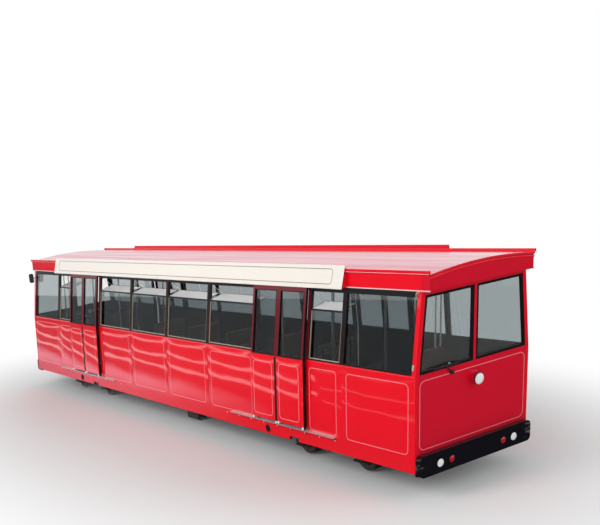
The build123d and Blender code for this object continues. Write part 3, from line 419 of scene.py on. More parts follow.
tree, (leaf, low, high), close = new_group("panel_pillow", "Height", {"Leaf": 0.0, "Low": 0.5, "High": 1.7})
x, y, z = on_object(tree)
s = along_car(x, z)
bays = (s / BAY).math("MINIMUM", 2.0)
for near, wide in ((DOOR_FAR, CAB_POST - DOOR_FAR), (CAB_POST, HALF_LENGTH - CAB_POST)):
    bays = bays + ((s - near) / wide).clamped()
counted = wired(tree, "ShaderNodeMix", {"Factor": leaf, "A": bays, "B": (s - DOOR_CENTRE) / LEAF})
swell_along = abs((Sum(tree, counted) * math.pi).math("SINE")).math("POWER", 0.6)
swell_up = (((z - low) / (high - low)).clamped() * math.pi).math("SINE")
close(swell_along * swell_up)

# The walls are near-black inside and in the window reveals, which is all that lies deeper than
# this: painted shade.
SHADE_DEPTH = 0.006
tree, (proud,), close = new_group("inside_shade_mask", "Mask", {"Proud": 0.0})
x, y, z = on_object(tree)
upper = FASCIA_BOTTOM - WAIST
rise = wired(tree, "ShaderNodeClamp", {"Value": z - WAIST, "Max": upper})
half = HALF - Sum(tree, rise) * (TUMBLEHOME / upper) + proud
close((half - abs(y)).math("MINIMUM", HALF_LENGTH - along_car(x, z)) > SHADE_DEPTH)

# The boards are cream on their face only: their backs, which show over the far edge of the roof, are red.
BOARD_DEPTH = 0.003
tree, (edge, top, slope), close = new_group(
    "board_back", "Mask", {"Edge": COVER_TOP_Y, "Top": COVER_TOP, "Slope": COVER_SLOPE}
)
x, y, z = on_object(tree)
close((edge + (top - z) * slope - abs(y)) > BOARD_DEPTH)

# Past a given distance from the middle, such as on the cut end of a sheet, the mask is 1.
tree, (limit,), close = new_group("past_end", "Mask", {"Limit": 7.12})
x, y, z = on_object(tree)
close(along_car(x, z) > limit)
print(len(bpy.data.node_groups), "groups in all")


# %% [markdown]
# A finish is a Principled shader with its constants on its own sockets. The maker below sets those, and
# then adds the shared groups: speckle to the roughness, dirt and masks to the colour, and speckle, ripple
# and pillow to Bump nodes in a chain. Glass lets shadow and diffuse rays straight through, so that light
# falls inside.


# %% The maker of finishes
def group_out(tree, name, values):
    """A placed shader group with its own values."""
    node = wired(tree, "ShaderNodeGroup", node_tree=bpy.data.node_groups[name])
    for label, value in values.items():
        node.inputs[label].default_value = value
    return node


def mixed(tree, mask, first, second):
    """Two colours or colour sockets mixed by a mask."""
    node = wired(tree, "ShaderNodeMix", {"Factor": mask}, data_type="RGBA")
    for label, value in (("A", first), ("B", second)):
        socket = [s for s in node.inputs if s.name == label and s.type == "RGBA"][0]
        if isinstance(value, tuple):
            socket.default_value = (*value, 1)
        else:
            tree.links.new(value, socket)
    return [s for s in node.outputs if s.type == "RGBA"][0]


def finish(
    name, colour, rough, metal=0.0, coat=0.0, coat_rough=0.05, dirt=0.0, dirt_height=1.1,
    dirt_colour=(0.09, 0.08, 0.07), ripple=0.0, ripple_scale=1.0, speckle=0.06, speckle_scale=260.0,
    bump=0.02, glass=0.0, mottle=0.1, spec=0.5, pillow=0.0, leaf=0.0, glow=0.0, masks=(),
):
    """A finish. `rough` is the middle of its roughness, and each of `masks` is a group's name, the colour
    where it is 1, and the group's values."""
    made = bpy.data.materials.new(name)
    made.use_nodes = True
    tree = made.node_tree
    shader = tree.nodes["Principled BSDF"]
    constants = {
        "Metallic": metal, "Coat Weight": coat, "Coat Roughness": coat_rough, "IOR": 1.5,
        "Specular IOR Level": spec, "Transmission Weight": glass, "Roughness": rough,
    }
    if glow:
        constants.update({"Emission Color": (*colour, 1), "Emission Strength": glow})
    for label, value in constants.items():
        shader.inputs[label].default_value = value

    specks = group_out(tree, "grain", {"Scale": speckle_scale})
    if speckle:
        swing = (Sum(tree, specks) - 0.5) * (speckle * 2)
        tree.links.new((swing + rough).clamped().socket, shader.inputs["Roughness"])

    tone = mixed(tree, noise(tree, 2.5, 3), tuple(c * (1 - mottle) for c in colour), colour)
    if dirt:
        masks = (("road_dirt", dirt_colour, {"Amount": dirt, "Start Height": dirt_height}), *masks)
    for group, other, values in masks:
        tone = mixed(tree, group_out(tree, group, values), tone, other)
    tree.links.new(tone, shader.inputs["Base Color"])

    # Each bump is a height, a strength and how many metres the height stands for.
    bumps = [(specks, bump, 0.001)]
    if ripple:
        bumps.append((group_out(tree, "sheet_ripple", {"Scale": ripple_scale}), ripple, 0.02))
    if pillow:
        bumps.append((group_out(tree, "panel_pillow", {"Leaf": leaf}), pillow, 0.06))
    below = {}
    for height, strength, reach in bumps:
        links = {"Height": height, "Strength": strength, "Distance": reach, **below}
        below = {"Normal": wired(tree, "ShaderNodeBump", links).outputs["Normal"]}
    tree.links.new(below["Normal"], shader.inputs["Normal"])
    if coat:
        tree.links.new(below["Normal"], shader.inputs["Coat Normal"])

    if glass:
        clear = wired(tree, "ShaderNodeBsdfTransparent", {"Color": (*colour, 1)})
        both = blend(tree, ray_is(tree, "Shadow", "Diffuse"), shader, clear)
        tree.links.new(both.outputs[0], tree.nodes["Material Output"].inputs["Surface"])
    return made


# %% [markdown]
# The finishes. Each row gives a colour, a roughness and what differs from plain paint. The reds are deeper
# than they look, because the coat and the pale studio lighten them.

# %% Finishes
RED = (0.92, 0.001, 0.014)
# A darker copy of the body red for the ends and headers: painted shade.
SHADED_RED = (0.74, 0.002, 0.024)
CREAM = (0.86, 0.80, 0.72)
WHITE = (0.97, 0.97, 0.95)
# Near-black for what lies deep under the outer skin: painted shade.
INSIDE_SHADE = (0.014, 0.011, 0.010)
ENAMEL = {"coat": 1.0, "bump": 0.01, "mottle": 0.06, "spec": 0.15}
END_ENAMEL = {"coat": 0.7, "bump": 0.01, "spec": 0.15}
ROAD = {"dirt": 0.12, "dirt_height": 1.0}
BOARD = {"coat": 0.5, "mottle": 0.04, "ripple": 0.06}
PANE = {"glass": 1.0, "speckle": 0.0, "bump": 0.0, "mottle": 0.02}
FINISHES = {
    "side_red": (RED, 0.3, {
        **ENAMEL, **ROAD, "ripple": 0.16, "pillow": 0.17, "masks": [("inside_shade_mask", INSIDE_SHADE, {})],
    }),
    "trim_red": (RED, 0.3, ENAMEL),
    "leaf_red": (RED, 0.3, {
        **ENAMEL, **ROAD, "ripple": 0.12, "pillow": 0.12, "leaf": 1.0,
        "masks": [("inside_shade_mask", INSIDE_SHADE, {"Proud": LEAF_FACE})],
    }),
    "end_red_shaded": (SHADED_RED, 0.32, {
        **END_ENAMEL, "dirt": 0.1, "ripple": 0.08, "mottle": 0.08, "masks": [("inside_shade_mask", INSIDE_SHADE, {})],
    }),
    "header_red_shaded": (SHADED_RED, 0.32, {**END_ENAMEL, "ripple": 0.06}),
    "roof_red": ((0.97, 0.11, 0.18), 0.34, {
        "coat": 0.6, "coat_rough": 0.2, "ripple": 0.2, "ripple_scale": 1.6, "mottle": 0.15,
        "masks": [("run_streaks", (1.0, 0.45, 0.52), {}), ("past_end", (0.86, 0.002, 0.018), {})],
    }),
    # Maroon: the body red in painted shade under the boards, and the colour of the dark seams.
    "maroon_shade_and_seams": ((0.17, 0.004, 0.014), 0.4, {"coat": 0.25, "spec": 0.2}),
    "stripe_pink": ((0.95, 0.22, 0.25), 0.35, {"coat": 0.5, "bump": 0.0}),
    # Pale pink for beads: a painted highlight of the sky on their rounded edges.
    "highlight_pink": ((0.90, 0.62, 0.62), 0.25, {"coat": 0.8, "bump": 0.0}),
    "cream": (CREAM, 0.35, BOARD),
    "board_cream": (CREAM, 0.35, {**BOARD, "masks": [("board_back", (0.85, 0.003, 0.02), {})]}),
    "sash_beige": ((0.50, 0.40, 0.30), 0.4, {"coat": 0.3, "bump": 0.05}),
    "border_brown": ((0.30, 0.24, 0.20), 0.5, {}),
    "frame_black": ((0.008, 0.008, 0.010), 0.42, {"speckle": 0.12, "spec": 0.2}),
    "rubber": ((0.010, 0.010, 0.010), 0.62, {"bump": 0.15, "speckle": 0.1, "spec": 0.25}),
    "chassis": ((0.016, 0.016, 0.018), 0.5, {
        "dirt": 0.7, "dirt_height": 0.6, "dirt_colour": (0.07, 0.055, 0.045), "bump": 0.12, "speckle": 0.15,
        "mottle": 0.3,
    }),
    "bumper_black": ((0.006, 0.006, 0.010), 0.3, {
        "coat": 0.15, "speckle": 0.12, "ripple": 0.05, "spec": 0.25,
        "masks": [("end_scuffs", (0.30, 0.30, 0.29), {})],
    }),
    "floor_sheet": ((0.10, 0.10, 0.105), 0.75, {"bump": 0.3, "speckle_scale": 120}),
    "door_steel": ((0.55, 0.55, 0.56), 0.38, {"metal": 1.0, "speckle": 0.15, "bump": 0.05}),
    "pale_steel": ((0.80, 0.80, 0.80), 0.3, {"metal": 0.6, "bump": 0.03}),
    "wheel_steel": ((0.12, 0.11, 0.10), 0.55, {
        "metal": 0.7, "dirt": 0.8, "dirt_height": 0.55, "dirt_colour": (0.09, 0.06, 0.045), "bump": 0.2,
        "mottle": 0.35,
    }),
    "wood": ((0.40, 0.22, 0.10), 0.35, {"coat": 0.5, "mottle": 0.45, "speckle_scale": 60}),
    "panel_wood": ((0.16, 0.10, 0.065), 0.4, {"coat": 0.3, "mottle": 0.4, "speckle_scale": 60}),
    "desk_black": ((0.02, 0.02, 0.022), 0.5, {"bump": 0.25, "speckle_scale": 500}),
    "lens_white": (WHITE, 0.12, {"coat": 1.0, "bump": 0.0, "mottle": 0.03}),
    "lens_red": ((0.55, 0.008, 0.02), 0.14, {"coat": 1.0, "bump": 0.0}),
    "inner_cream": ((0.55, 0.52, 0.46), 0.5, {}),
    "white_enamel": ((0.90, 0.89, 0.86), 0.3, {"coat": 0.6, "bump": 0.0, "mottle": 0.04}),
    "lamp_glow": (WHITE, 0.3, {"bump": 0.0, "mottle": 0.03, "glow": 7.0}),
    # Grey side glass: partly a glass tint, partly painted shade of the dark saloon behind it.
    "side_pane_shade_tint": ((0.36, 0.40, 0.41), 0.02, PANE),
    "end_pane": ((0.90, 0.93, 0.92), 0.01, PANE),
    "mirror_dark": ((0.10, 0.11, 0.12), 0.05, {"metal": 0.9, "bump": 0.0, "speckle": 0.0}),
    # Opaque near-white vent panes: frosted glass whose white stands for the sky it mirrors, a painted
    # reflection.
    "vent_sky_white": ((0.97, 0.98, 1.0), 0.25, {"coat": 1.0, "speckle": 0.02, "bump": 0.0, "mottle": 0.03}),
}
look = {name: finish(name, colour, rough, **values) for name, (colour, rough, values) in FINISHES.items()}
print(len(look), "finishes")

# %% [markdown]
# The solids whose shape is already right keep their meshes and only get a finish. The list gives, for each
# finish, how the names of its solids start. Every pane is glass, and what is left are the door leaves.

# %% Finishes for the solids
SOLIDS = {
    "chassis": "sills crossbearers deep_beams bogie_pivots rope_anchor rail_brakes bogie_frame",
    "wheel_steel": "wheelset",
    "floor_sheet": "floor",
    "side_red": "side_wall",
    "end_red_shaded": "end_wall",
    "header_red_shaded": "end_header",
    "roof_red": "roof",
    "trim_red": "gutters",
    "rubber": "mirrors",
    "board_cream": "door_cover",
    "frame_black": "window_frames windscreen_frames",
    "vent_sky_white": "vents",
    "end_pane": "windscreens",
    "door_steel": "door_rails",
    "pale_steel": "door_guides grab_poles",
    "bumper_black": "bumper",
    "lens_white": "white_lamps headlamps",
    "lens_red": "red_lamps",
    "wood": "seats",
    "panel_wood": "cab_partitions",
    "desk_black": "driver_desks wipers",
}
for node, thing in nodes.items():
    given = [name for name, starts in SOLIDS.items() if node.startswith(tuple(starts.split()))]
    # The side panes take the darkened grey glass, partly painted shade.
    name = "side_pane_shade_tint" if node.endswith("_glass") else (given or ["leaf_red"])[0]
    thing.data.materials.clear()
    thing.data.materials.append(look[name])
print(len(nodes), "solids dressed")


# %% [markdown]
# Trim is gathered by body and finish. A `Trim` holds one growing mesh. Its outlines are drawn flat, as
# pairs of numbers on a wall, and a placer bends them onto the side or the end, so a stripe follows the lean
# by itself.


# %% A mesh that grows
def settled(name, mesh, body):
    """A finished piece made of this mesh, riding on its body."""
    piece = placed(name, mesh)
    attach(piece, body)
    print(name, len(mesh.polygons), "faces on", body)
    return piece


SHARP = math.radians(40)


class Trim:
    """One mesh for one body and one finish."""

    def __init__(self, name, finish_name, slot, body="car"):
        self.name, self.body, self.finish_name, self.slot = name, body, finish_name, slot
        self.bm = bmesh.new()
        self.smooth = False

    def row(self, points):
        """Corners at these points."""
        return [self.bm.verts.new(point) for point in points]

    def ring(self, centre, across, up, radius, sides):
        """A round row of corners."""
        turns = (2 * math.pi * k / sides for k in range(sides))
        return self.row(centre + radius * (across * math.cos(t) + up * math.sin(t)) for t in turns)

    def wall(self, rows):
        """The faces between closed rows of corners, where a row of one corner is a tip."""
        for a, b in zip(rows, rows[1:]):
            count = max(len(a), len(b))
            for i in range(count):
                j = (i + 1) % count
                corners = dict.fromkeys((a[i % len(a)], a[j % len(a)], b[j % len(b)], b[i % len(b)]))
                if len(corners) > 2:
                    self.bm.faces.new(tuple(corners))

    def band(self, place, outer, inner, front, back):
        """A flat ring between two outlines with the same number of points."""
        edges = ((outer, back), (outer, front), (inner, front), (inner, back))
        self.wall([self.row(place(u, v, proud) for u, v in outline) for outline, proud in edges])

    def plate(self, place, outline, front, back):
        """A filled outline with its edges."""
        low = self.row(place(u, v, back) for u, v in outline)
        high = self.row(place(u, v, front) for u, v in outline)
        self.bm.faces.new(high)
        self.bm.faces.new(low[::-1])
        self.wall([low, high])

    def strip(self, place, s0, s1, z0, z1, front=0.0014, back=-0.001):
        """A thin upright or level plate with straight edges."""
        self.plate(place, oblong(s0, s1, z0, z1), front, back)

    def rod(self, points, radius, sides=8):
        """A round rod through points, closed at both ends."""
        self.smooth = True
        points = [Vector(p) for p in points]
        across = None
        rings = []
        for i, p in enumerate(points):
            ahead = (points[min(i + 1, len(points) - 1)] - points[max(i - 1, 0)]).normalized()
            if across is None:
                across = ahead.orthogonal()
            across = (across - ahead * across.dot(ahead)).normalized()
            rings.append(self.ring(p, across, ahead.cross(across), radius, sides))
        self.wall(rings)
        self.bm.faces.new(rings[0][::-1])
        self.bm.faces.new(rings[-1])

    def turned(self, origin, axis, profile, sides=32):
        """A turned form: profile pairs (along the axis, radius), closed at radius 0."""
        self.smooth = True
        axis = Vector(axis).normalized()
        across = axis.orthogonal().normalized()
        up = axis.cross(across)
        rings = []
        for along, radius in profile:
            centre = Vector(origin) + axis * along
            rings.append(self.ring(centre, across, up, radius, 1 if radius < 1e-6 else sides))
        self.wall(rings)

    def done(self):
        """Turns the gathered mesh into a piece that rides on its body. Round forms are shaded smooth."""
        bmesh.ops.recalc_face_normals(self.bm, faces=self.bm.faces)
        mesh = bpy.data.meshes.new(self.name)
        self.bm.to_mesh(mesh)
        self.bm.free()
        for face in mesh.polygons:
            face.use_smooth = self.smooth
        if self.smooth:
            mesh.set_sharp_from_angle(angle=SHARP)
        mesh.materials.append(look[self.finish_name])
        return settled(self.name, mesh, self.body)


def settle(*trims):
    """Turns several gathered meshes into pieces."""
    for trim in trims:
        trim.done()


def rounded(u0, u1, v0, v1, radius, steps=6):
    """A rectangle with rounded corners, counted anticlockwise."""
    outline = []
    corners = ((u1 - radius, v1 - radius, 0), (u0 + radius, v1 - radius, 90), (u0 + radius, v0 + radius, 180),
               (u1 - radius, v0 + radius, 270))
    for cu, cv, start in corners:
        for k in range(steps + 1):
            turn = math.radians(start + 90 * k / steps)
            outline.append((cu + radius * math.cos(turn), cv + radius * math.sin(turn)))
    return outline


def oblong(u0, u1, v0, v1):
    """A rectangle with sharp corners."""
    return [(u0, v0), (u1, v0), (u1, v1), (u0, v1)]


# %% [markdown]
# Each lower panel carries a fine pink line with rounded corners, painted with a lining brush. A brushed
# line has a body of its own, so it is a thin ribbon that stands a millimetre proud, cut to the panel and
# laid on the enamel.

# %% Lining on the panels
LINE = 0.013
LINE_LOW, LINE_HIGH = TREAD + 0.60, TREAD + 1.585


def lining(trim, place, u0, u1, v0=LINE_LOW, v1=LINE_HIGH, radius=0.075, line=LINE, front=0.0009):
    """A line round one panel."""
    inner = rounded(u0 + line, u1 - line, v0 + line, v1 - line, radius - line)
    trim.band(place, rounded(u0, u1, v0, v1, radius), inner, front, -0.001)


car_lines = Trim("panel_lining", "stripe_pink", "body_red")
for side in BOTH:
    for n in (-2, -1, 0, 1):
        lining(car_lines, on_side(side), n * BAY + 0.10, (n + 1) * BAY - 0.11)
    for end in BOTH:
        for near, far in ((DOOR_FAR + 0.06, CAB_POST - 0.12), (CAB_POST + 0.11, HALF_LENGTH - 0.135)):
            lining(car_lines, on_side(side), *span(end, near, far))
for end in BOTH:
    lining(car_lines, on_end(end), -0.98, 0.98, TREAD + 0.66, TREAD + 1.615, 0.09)
car_lines.done()

# %% [markdown]
# The eight door leaves are trimmed alike. Each has its own lined panel, maroon stiles beside and over its
# window, which are the leaf's red in painted shade under the board, black strips down both edges, which are
# rubber where the leaves meet and painted shade of the gap beside the leaf elsewhere, a rubber nose where the
# leaves meet, and white feet that run over the guide.

# %% Door leaves
GLASS_LOW, GLASS_HIGH = WINDOW_BOTTOM, WINDOW_TOP - 0.02
LEAF_FOOT = FLOOR_TOP + 0.036
LEAF_TOP = TREAD + 2.78
LEAVES = {
    f"door_{side_name}_{end_name}_{leaf_name}": (side, end * DOOR_CENTRE + start, end * DOOR_CENTRE + stop)
    for side_name, side in SIDES.items()
    for end_name, end in ENDS.items()
    for leaf_name, start, stop in (("lower", -LEAF, -0.003), ("upper", 0.003, LEAF))
}
for body, (side, first, last) in LEAVES.items():
    face = on_side(side, LEAF_FACE)
    lines = Trim(body + "_lining", "stripe_pink", "body_red", body)
    lining(lines, face, first + 0.065, last - 0.115, TREAD + 0.70, TREAD + 1.585, 0.07)
    lines.done()

    # The maroon stiles beside and over the window are the leaf's red in painted shade.
    stiles = Trim(body + "_stiles", "maroon_shade_and_seams", "body_red", body)
    for u0, u1 in ((first, first + 0.05), (last - 0.05, last)):
        stiles.strip(face, u0, u1, GLASS_LOW, GLASS_HIGH, 0.0012)
    for z0, z1 in ((GLASS_HIGH, FASCIA_BOTTOM), (FASCIA_BOTTOM, TREAD + 2.838)):
        stiles.strip(face, first, last, z0, z1, 0.0012)
    stiles.done()

    seal_and_gap_shade = Trim(body + "_seal_and_gap_shade", "rubber", "frame_black", body)
    # Black strips down both edges: rubber where the leaves meet, and painted shade of the gap beside the leaf
    # at the outer edges.
    for edge, out in ((first, -0.0012), (last, 0.0012)):
        for z0, z1 in ((LEAF_FOOT, WAIST), (WAIST, LEAF_TOP)):
            seal_and_gap_shade.strip(face, edge, edge + out, z0, z1, 0.0005, -0.039)
    if body.endswith("lower"):
        seal_and_gap_shade.strip(face, last - 0.05, last, LEAF_FOOT, WAIST, 0.001)
        seal_and_gap_shade.strip(face, last - 0.018, last, WAIST, LEAF_TOP, 0.001)
    gasket_out = oblong(first + 0.048, last - 0.048, GLASS_LOW - 0.002, GLASS_HIGH)
    gasket_in = oblong(first + 0.062, last - 0.062, GLASS_LOW + 0.014, GLASS_HIGH - 0.014)
    seal_and_gap_shade.band(face, gasket_out, gasket_in, 0.002, -0.018)
    seal_and_gap_shade.done()

    feet = Trim(body + "_feet", "white_enamel", "door_steel", body)
    for u0 in (first + 0.005, last - 0.05):
        foot = rounded(u0, u0 + 0.045, FLOOR_TOP + 0.007, FLOOR_TOP + 0.045, 0.008, 3)
        feet.plate(face, foot, 0.001, -0.038)
    feet.done()

# %% [markdown]
# A cream board covers the door gear on each side, slanted so that rain runs off. Its face is bare except
# for a fine brown border with rounded corners, and a half-round bead stiffens its lower edge.

# %% Cream boards
BORDER = 0.011


def cover_y(z):
    """Outer face of the slanted board at height z."""
    return COVER_TOP_Y + (COVER_TOP - z) * COVER_SLOPE


def on_cover(side):
    """A placer for trim on a board."""
    return lambda s, z, proud: at(s, side * (cover_y(z) + proud), z)


border = Trim("board_border", "border_brown", "cream")
board_bead = Trim("board_bead", "cream", "cream")
for side in BOTH:
    reach = COVER_END - 0.25
    lining(border, on_cover(side), -reach, reach, COVER_BOTTOM + 0.06, COVER_TOP - 0.05, 0.055, BORDER, 0.001)
    z = COVER_BOTTOM + 0.007
    board_bead.rod([at(s, side * (cover_y(z) - 0.003), z) for s in (-COVER_END, COVER_END)], 0.008)
settle(border, board_bead)

# %% [markdown]
# Half-round mouldings hide the joints of the bodywork: a pale one under the fascia, a red one along the
# window sills, red ones down the four corners, and a fine pale line along each gutter. The pale pink of the
# fascia bead and the gutter line is a painted highlight, the gleam of the sky on a rounded edge. They are
# drawn rod pinned over a seam, so each is a rod half sunk in it.

# %% Mouldings
fascia_bead = Trim("fascia_beads", "highlight_pink", "body_red")
sill_bead = Trim("sill_beads", "trim_red", "body_red")
corner = Trim("corner_mouldings", "trim_red", "body_red")
gutter_highlight = Trim("gutter_highlight_lines", "highlight_pink", "body_red")
ROOF_REACH = HALF_LENGTH + OVERHANG - 0.004
LONG_BEADS = (
    (fascia_bead, FASCIA_Y + 0.001, FASCIA_BOTTOM + 0.006, 0.009, 8),
    (gutter_highlight, 0.9735, TREAD + 3.017, 0.0035, 6),
)
CORNER_HEIGHTS = (TREAD + 0.362, WAIST, FASCIA_BOTTOM - 0.002)
SILL_RUNS = [(-2 * BAY - 0.02, 2 * BAY + 0.02)]
SILL_RUNS += [span(end, DOOR_FAR + 0.02, HALF_LENGTH - 0.01) for end in BOTH]
for side in BOTH:
    for trim, y, z, radius, sides in LONG_BEADS:
        trim.rod([at(s, side * y, z) for s in (-ROOF_REACH, ROOF_REACH)], radius, sides)
    for run in SILL_RUNS:
        sill_bead.rod([on_side(side)(s, WAIST + 0.004, 0.0005) for s in run], 0.009)
    for end in BOTH:
        s = end * (HALF_LENGTH - 0.010)
        corner.rod([on_side(side)(s, z, -0.010) for z in CORNER_HEIGHTS], 0.0155, 16)
settle(fascia_bead, sill_bead, corner, gutter_highlight)

# %% [markdown]
# Rivets, bolt heads, slats and springs repeat, so Geometry Nodes make them. Each tree is built once, takes
# its places and sizes as named inputs, and ends in Realize Instances and Set Material. `grown` runs a tree
# on an empty mesh and hands back a plain mesh.


# %% Trees for what repeats
def row_tree(name, sizes, shape, smooth=False):
    """A tree that lays copies of one shape in a row. `shape` draws it from the tree's inputs."""
    tree = bpy.data.node_groups.new(name, "GeometryNodeTree")
    kinds = {"Start": "Vector", "Step": "Vector", "Count": "Int", "Turn": "Vector", "Finish": "Material"}
    tree.interface.new_socket("Geometry", in_out="INPUT", socket_type="NodeSocketGeometry")
    for label, kind in {**kinds, **dict.fromkeys(sizes, "Float")}.items():
        tree.interface.new_socket(label, in_out="INPUT", socket_type="NodeSocket" + kind)
    tree.interface.new_socket("Geometry", in_out="OUTPUT", socket_type="NodeSocketGeometry")
    given = tree.nodes.new("NodeGroupInput").outputs
    places = {"Count": given["Count"], "Start Location": given["Start"], "Offset": given["Step"]}
    line = wired(tree, "GeometryNodeMeshLine", places, mode="OFFSET")
    links = {"Points": line, "Instance": shape(tree, given), "Rotation": given["Turn"]}
    last = wired(tree, "GeometryNodeInstanceOnPoints", links)
    if smooth:
        last = wired(tree, "GeometryNodeSetShadeSmooth", {"Geometry": last})
    last = wired(tree, "GeometryNodeRealizeInstances", {"Geometry": last})
    last = wired(tree, "GeometryNodeSetMaterial", {"Geometry": last, "Material": given["Finish"]})
    tree.links.new(last.outputs[0], tree.nodes.new("NodeGroupOutput").inputs["Geometry"])
    return tree


def swept_along(tree, spine, section):
    """A section carried along a curve, with its ends closed."""
    links = {"Curve": spine, "Profile Curve": section, "Fill Caps": True}
    return wired(tree, "GeometryNodeCurveToMesh", links)


def dome_head(tree, given):
    """A ball of radius 1, flattened to a dome."""
    ball = wired(tree, "GeometryNodeMeshUVSphere", {"Segments": 16, "Rings": 8, "Radius": 1.0})
    axes = {"X": given["Radius"], "Y": given["Radius"], "Z": given["Rise"]}
    links = {"Geometry": ball, "Scale": wired(tree, "ShaderNodeCombineXYZ", axes)}
    return wired(tree, "GeometryNodeTransform", links)


def slat(tree, given):
    """A board across the car with its edges rounded."""
    length = Sum(tree, given["Length"])
    ends = [wired(tree, "ShaderNodeCombineXYZ", {"Y": length * part}) for part in (-0.5, 0.5)]
    spine = wired(tree, "GeometryNodeCurvePrimitiveLine", {"Start": ends[0], "End": ends[1]})
    size = {"Width": given["Width"], "Height": given["Thickness"]}
    section = wired(tree, "GeometryNodeCurvePrimitiveQuadrilateral", size)
    edge = {"Curve": section, "Radius": 0.006, "Count": 3}
    return swept_along(tree, spine, wired(tree, "GeometryNodeFilletCurve", edge, mode="POLY"))


def spring(tree, given):
    """A coil of round wire."""
    helix = wired(tree, "GeometryNodeCurveSpiral", {
        "Resolution": 20, "Rotations": given["Turns"], "Start Radius": given["Radius"],
        "End Radius": given["Radius"], "Height": given["Height"],
    })
    wire = wired(tree, "GeometryNodeCurvePrimitiveCircle", {"Resolution": 8, "Radius": given["Wire"]})
    return swept_along(tree, helix, wire)


dome_row = row_tree("dome_row", ("Radius", "Rise"), dome_head, smooth=True)
slat_row = row_tree("slat_row", ("Length", "Width", "Thickness"), slat)
coil_row = row_tree("coil_row", ("Radius", "Height", "Turns", "Wire"), spring, smooth=True)
print("trees", [tree.name for tree in (dome_row, slat_row, coil_row)])


def modified(mesh, kind, inputs, **settings):
    """The plain mesh that one modifier makes of this one."""
    raw = placed("raw", mesh)
    modifier = raw.modifiers.new("work", kind)
    for label, value in settings.items():
        setattr(modifier, label, value)
    for identifier, value in inputs.items():
        modifier[identifier] = value
    plain = bpy.data.meshes.new_from_object(raw.evaluated_get(bpy.context.evaluated_depsgraph_get()))
    bpy.data.objects.remove(raw)
    return plain


def grown(tree, finish_name, start, step, count, turn=(0, 0, 0), **sizes):
    """The plain mesh that a tree makes, its inputs set by the identifiers of their names."""
    finish_look = look[finish_name]
    values = {"Start": start, "Step": step, "Count": count, "Turn": turn, "Finish": finish_look, **sizes}
    items = [item for item in tree.interface.items_tree if item.in_out == "INPUT" and item.name in values]
    inputs = {item.identifier: values[item.name] for item in items}
    mesh = modified(bpy.data.meshes.new("seed"), "NODES", inputs, node_group=tree)
    mesh.materials.clear()
    mesh.materials.append(finish_look)
    for face in mesh.polygons:
        face.material_index = 0
    return mesh


def joined(name, meshes, body="car"):
    """One piece from several plain meshes of one finish."""
    bm = bmesh.new()
    for mesh in meshes:
        bm.from_mesh(mesh)
    whole = bpy.data.meshes.new(name)
    bm.to_mesh(whole)
    bm.free()
    whole.materials.append(meshes[0].materials[0])
    for mesh in meshes:
        bpy.data.meshes.remove(mesh)
    return settled(name, whole, body)


# %% [markdown]
# A row of nine pale rivets holds the skirt to the floor frame round each doorway, and a round black fitting
# sits under the doors. Domes face outwards, so the ball of each rivet is flattened and turned to face along
# Y.

# %% Skirt rivets and fittings
RIVET_Z = TREAD + 0.535
RIVET_STEP = 0.383
RIVETS = 9
RIVET_START = 2.163
FITTING_Z = TREAD + 0.448
FITTING_PLACES = (3.435, -4.2)
FITTING = [(0, 0.062), (0.010, 0.060), (0.013, 0.052), (0.009, 0.046), (0.009, 0.02), (0.012, 0.0)]
rows = []
fitting = Trim("skirt_fittings", "rubber", "frame_black")
for side in BOTH:
    for s in (RIVET_START, -RIVET_START - (RIVETS - 1) * RIVET_STEP):
        rows.append(grown(dome_row, "pale_steel", at(s, side * HALF, RIVET_Z), (RIVET_STEP, 0, 0), RIVETS,
                          (QUARTER, 0, 0), Radius=0.012, Rise=0.006))
    for s in FITTING_PLACES:
        fitting.turned(at(s, side * (HALF - 0.002), FITTING_Z), (0, side, 0), FITTING)
joined("skirt_rivets", rows)
fitting.done()

# %% [markdown]
# Lamps. The headlamp is a red barrel with a dark rim and a white domed lens. The bumper lamps are lower
# domes in steel rims. A turned profile gives each, as a spinner would form the real shells, and the new
# pieces stand for the plain solids. All point straight out of an end on the hill, square to the plumb end
# wall.


# %% Lamps
def dome(along, rise, radius, steps):
    """The profile of a dome that starts at `along`."""
    turns = (k * QUARTER / steps for k in range(steps + 1))
    return [(along + rise * math.sin(t), radius * math.cos(t)) for t in turns]


BARREL = [(0, 0.0), (0, 0.098), (0.006, 0.098), (0.010, 0.088), (0.080, 0.083), (0.086, 0.0)]
RIM = [(0.080, 0.0), (0.080, 0.086), (0.088, 0.088), (0.096, 0.086), (0.098, 0.078), (0.094, 0.0)]
LENS = [(0.092, 0.0), (0.092, 0.080), *dome(0.096, 0.036, 0.080, 8)]
HEADLAMP_Z = TREAD + 1.463
BUMPER_LAMP_Z = TREAD + 0.448
# The barrel takes the headers' darker red, which is painted shade.
barrel = Trim("headlamp_barrels", "header_red_shaded", "body_red")
rim = Trim("headlamp_rims", "rubber", "frame_black")
glass = Trim("headlamp_lenses", "lens_white", "lens_white")
for end in BOTH:
    for trim, profile in ((barrel, BARREL), (rim, RIM), (glass, LENS)):
        trim.turned(at(end * HALF_LENGTH, 0, HEADLAMP_Z), (end * COS, 0, -end * SIN), profile, 40)
settle(barrel, rim)
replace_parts(glass.done(), "headlamps")

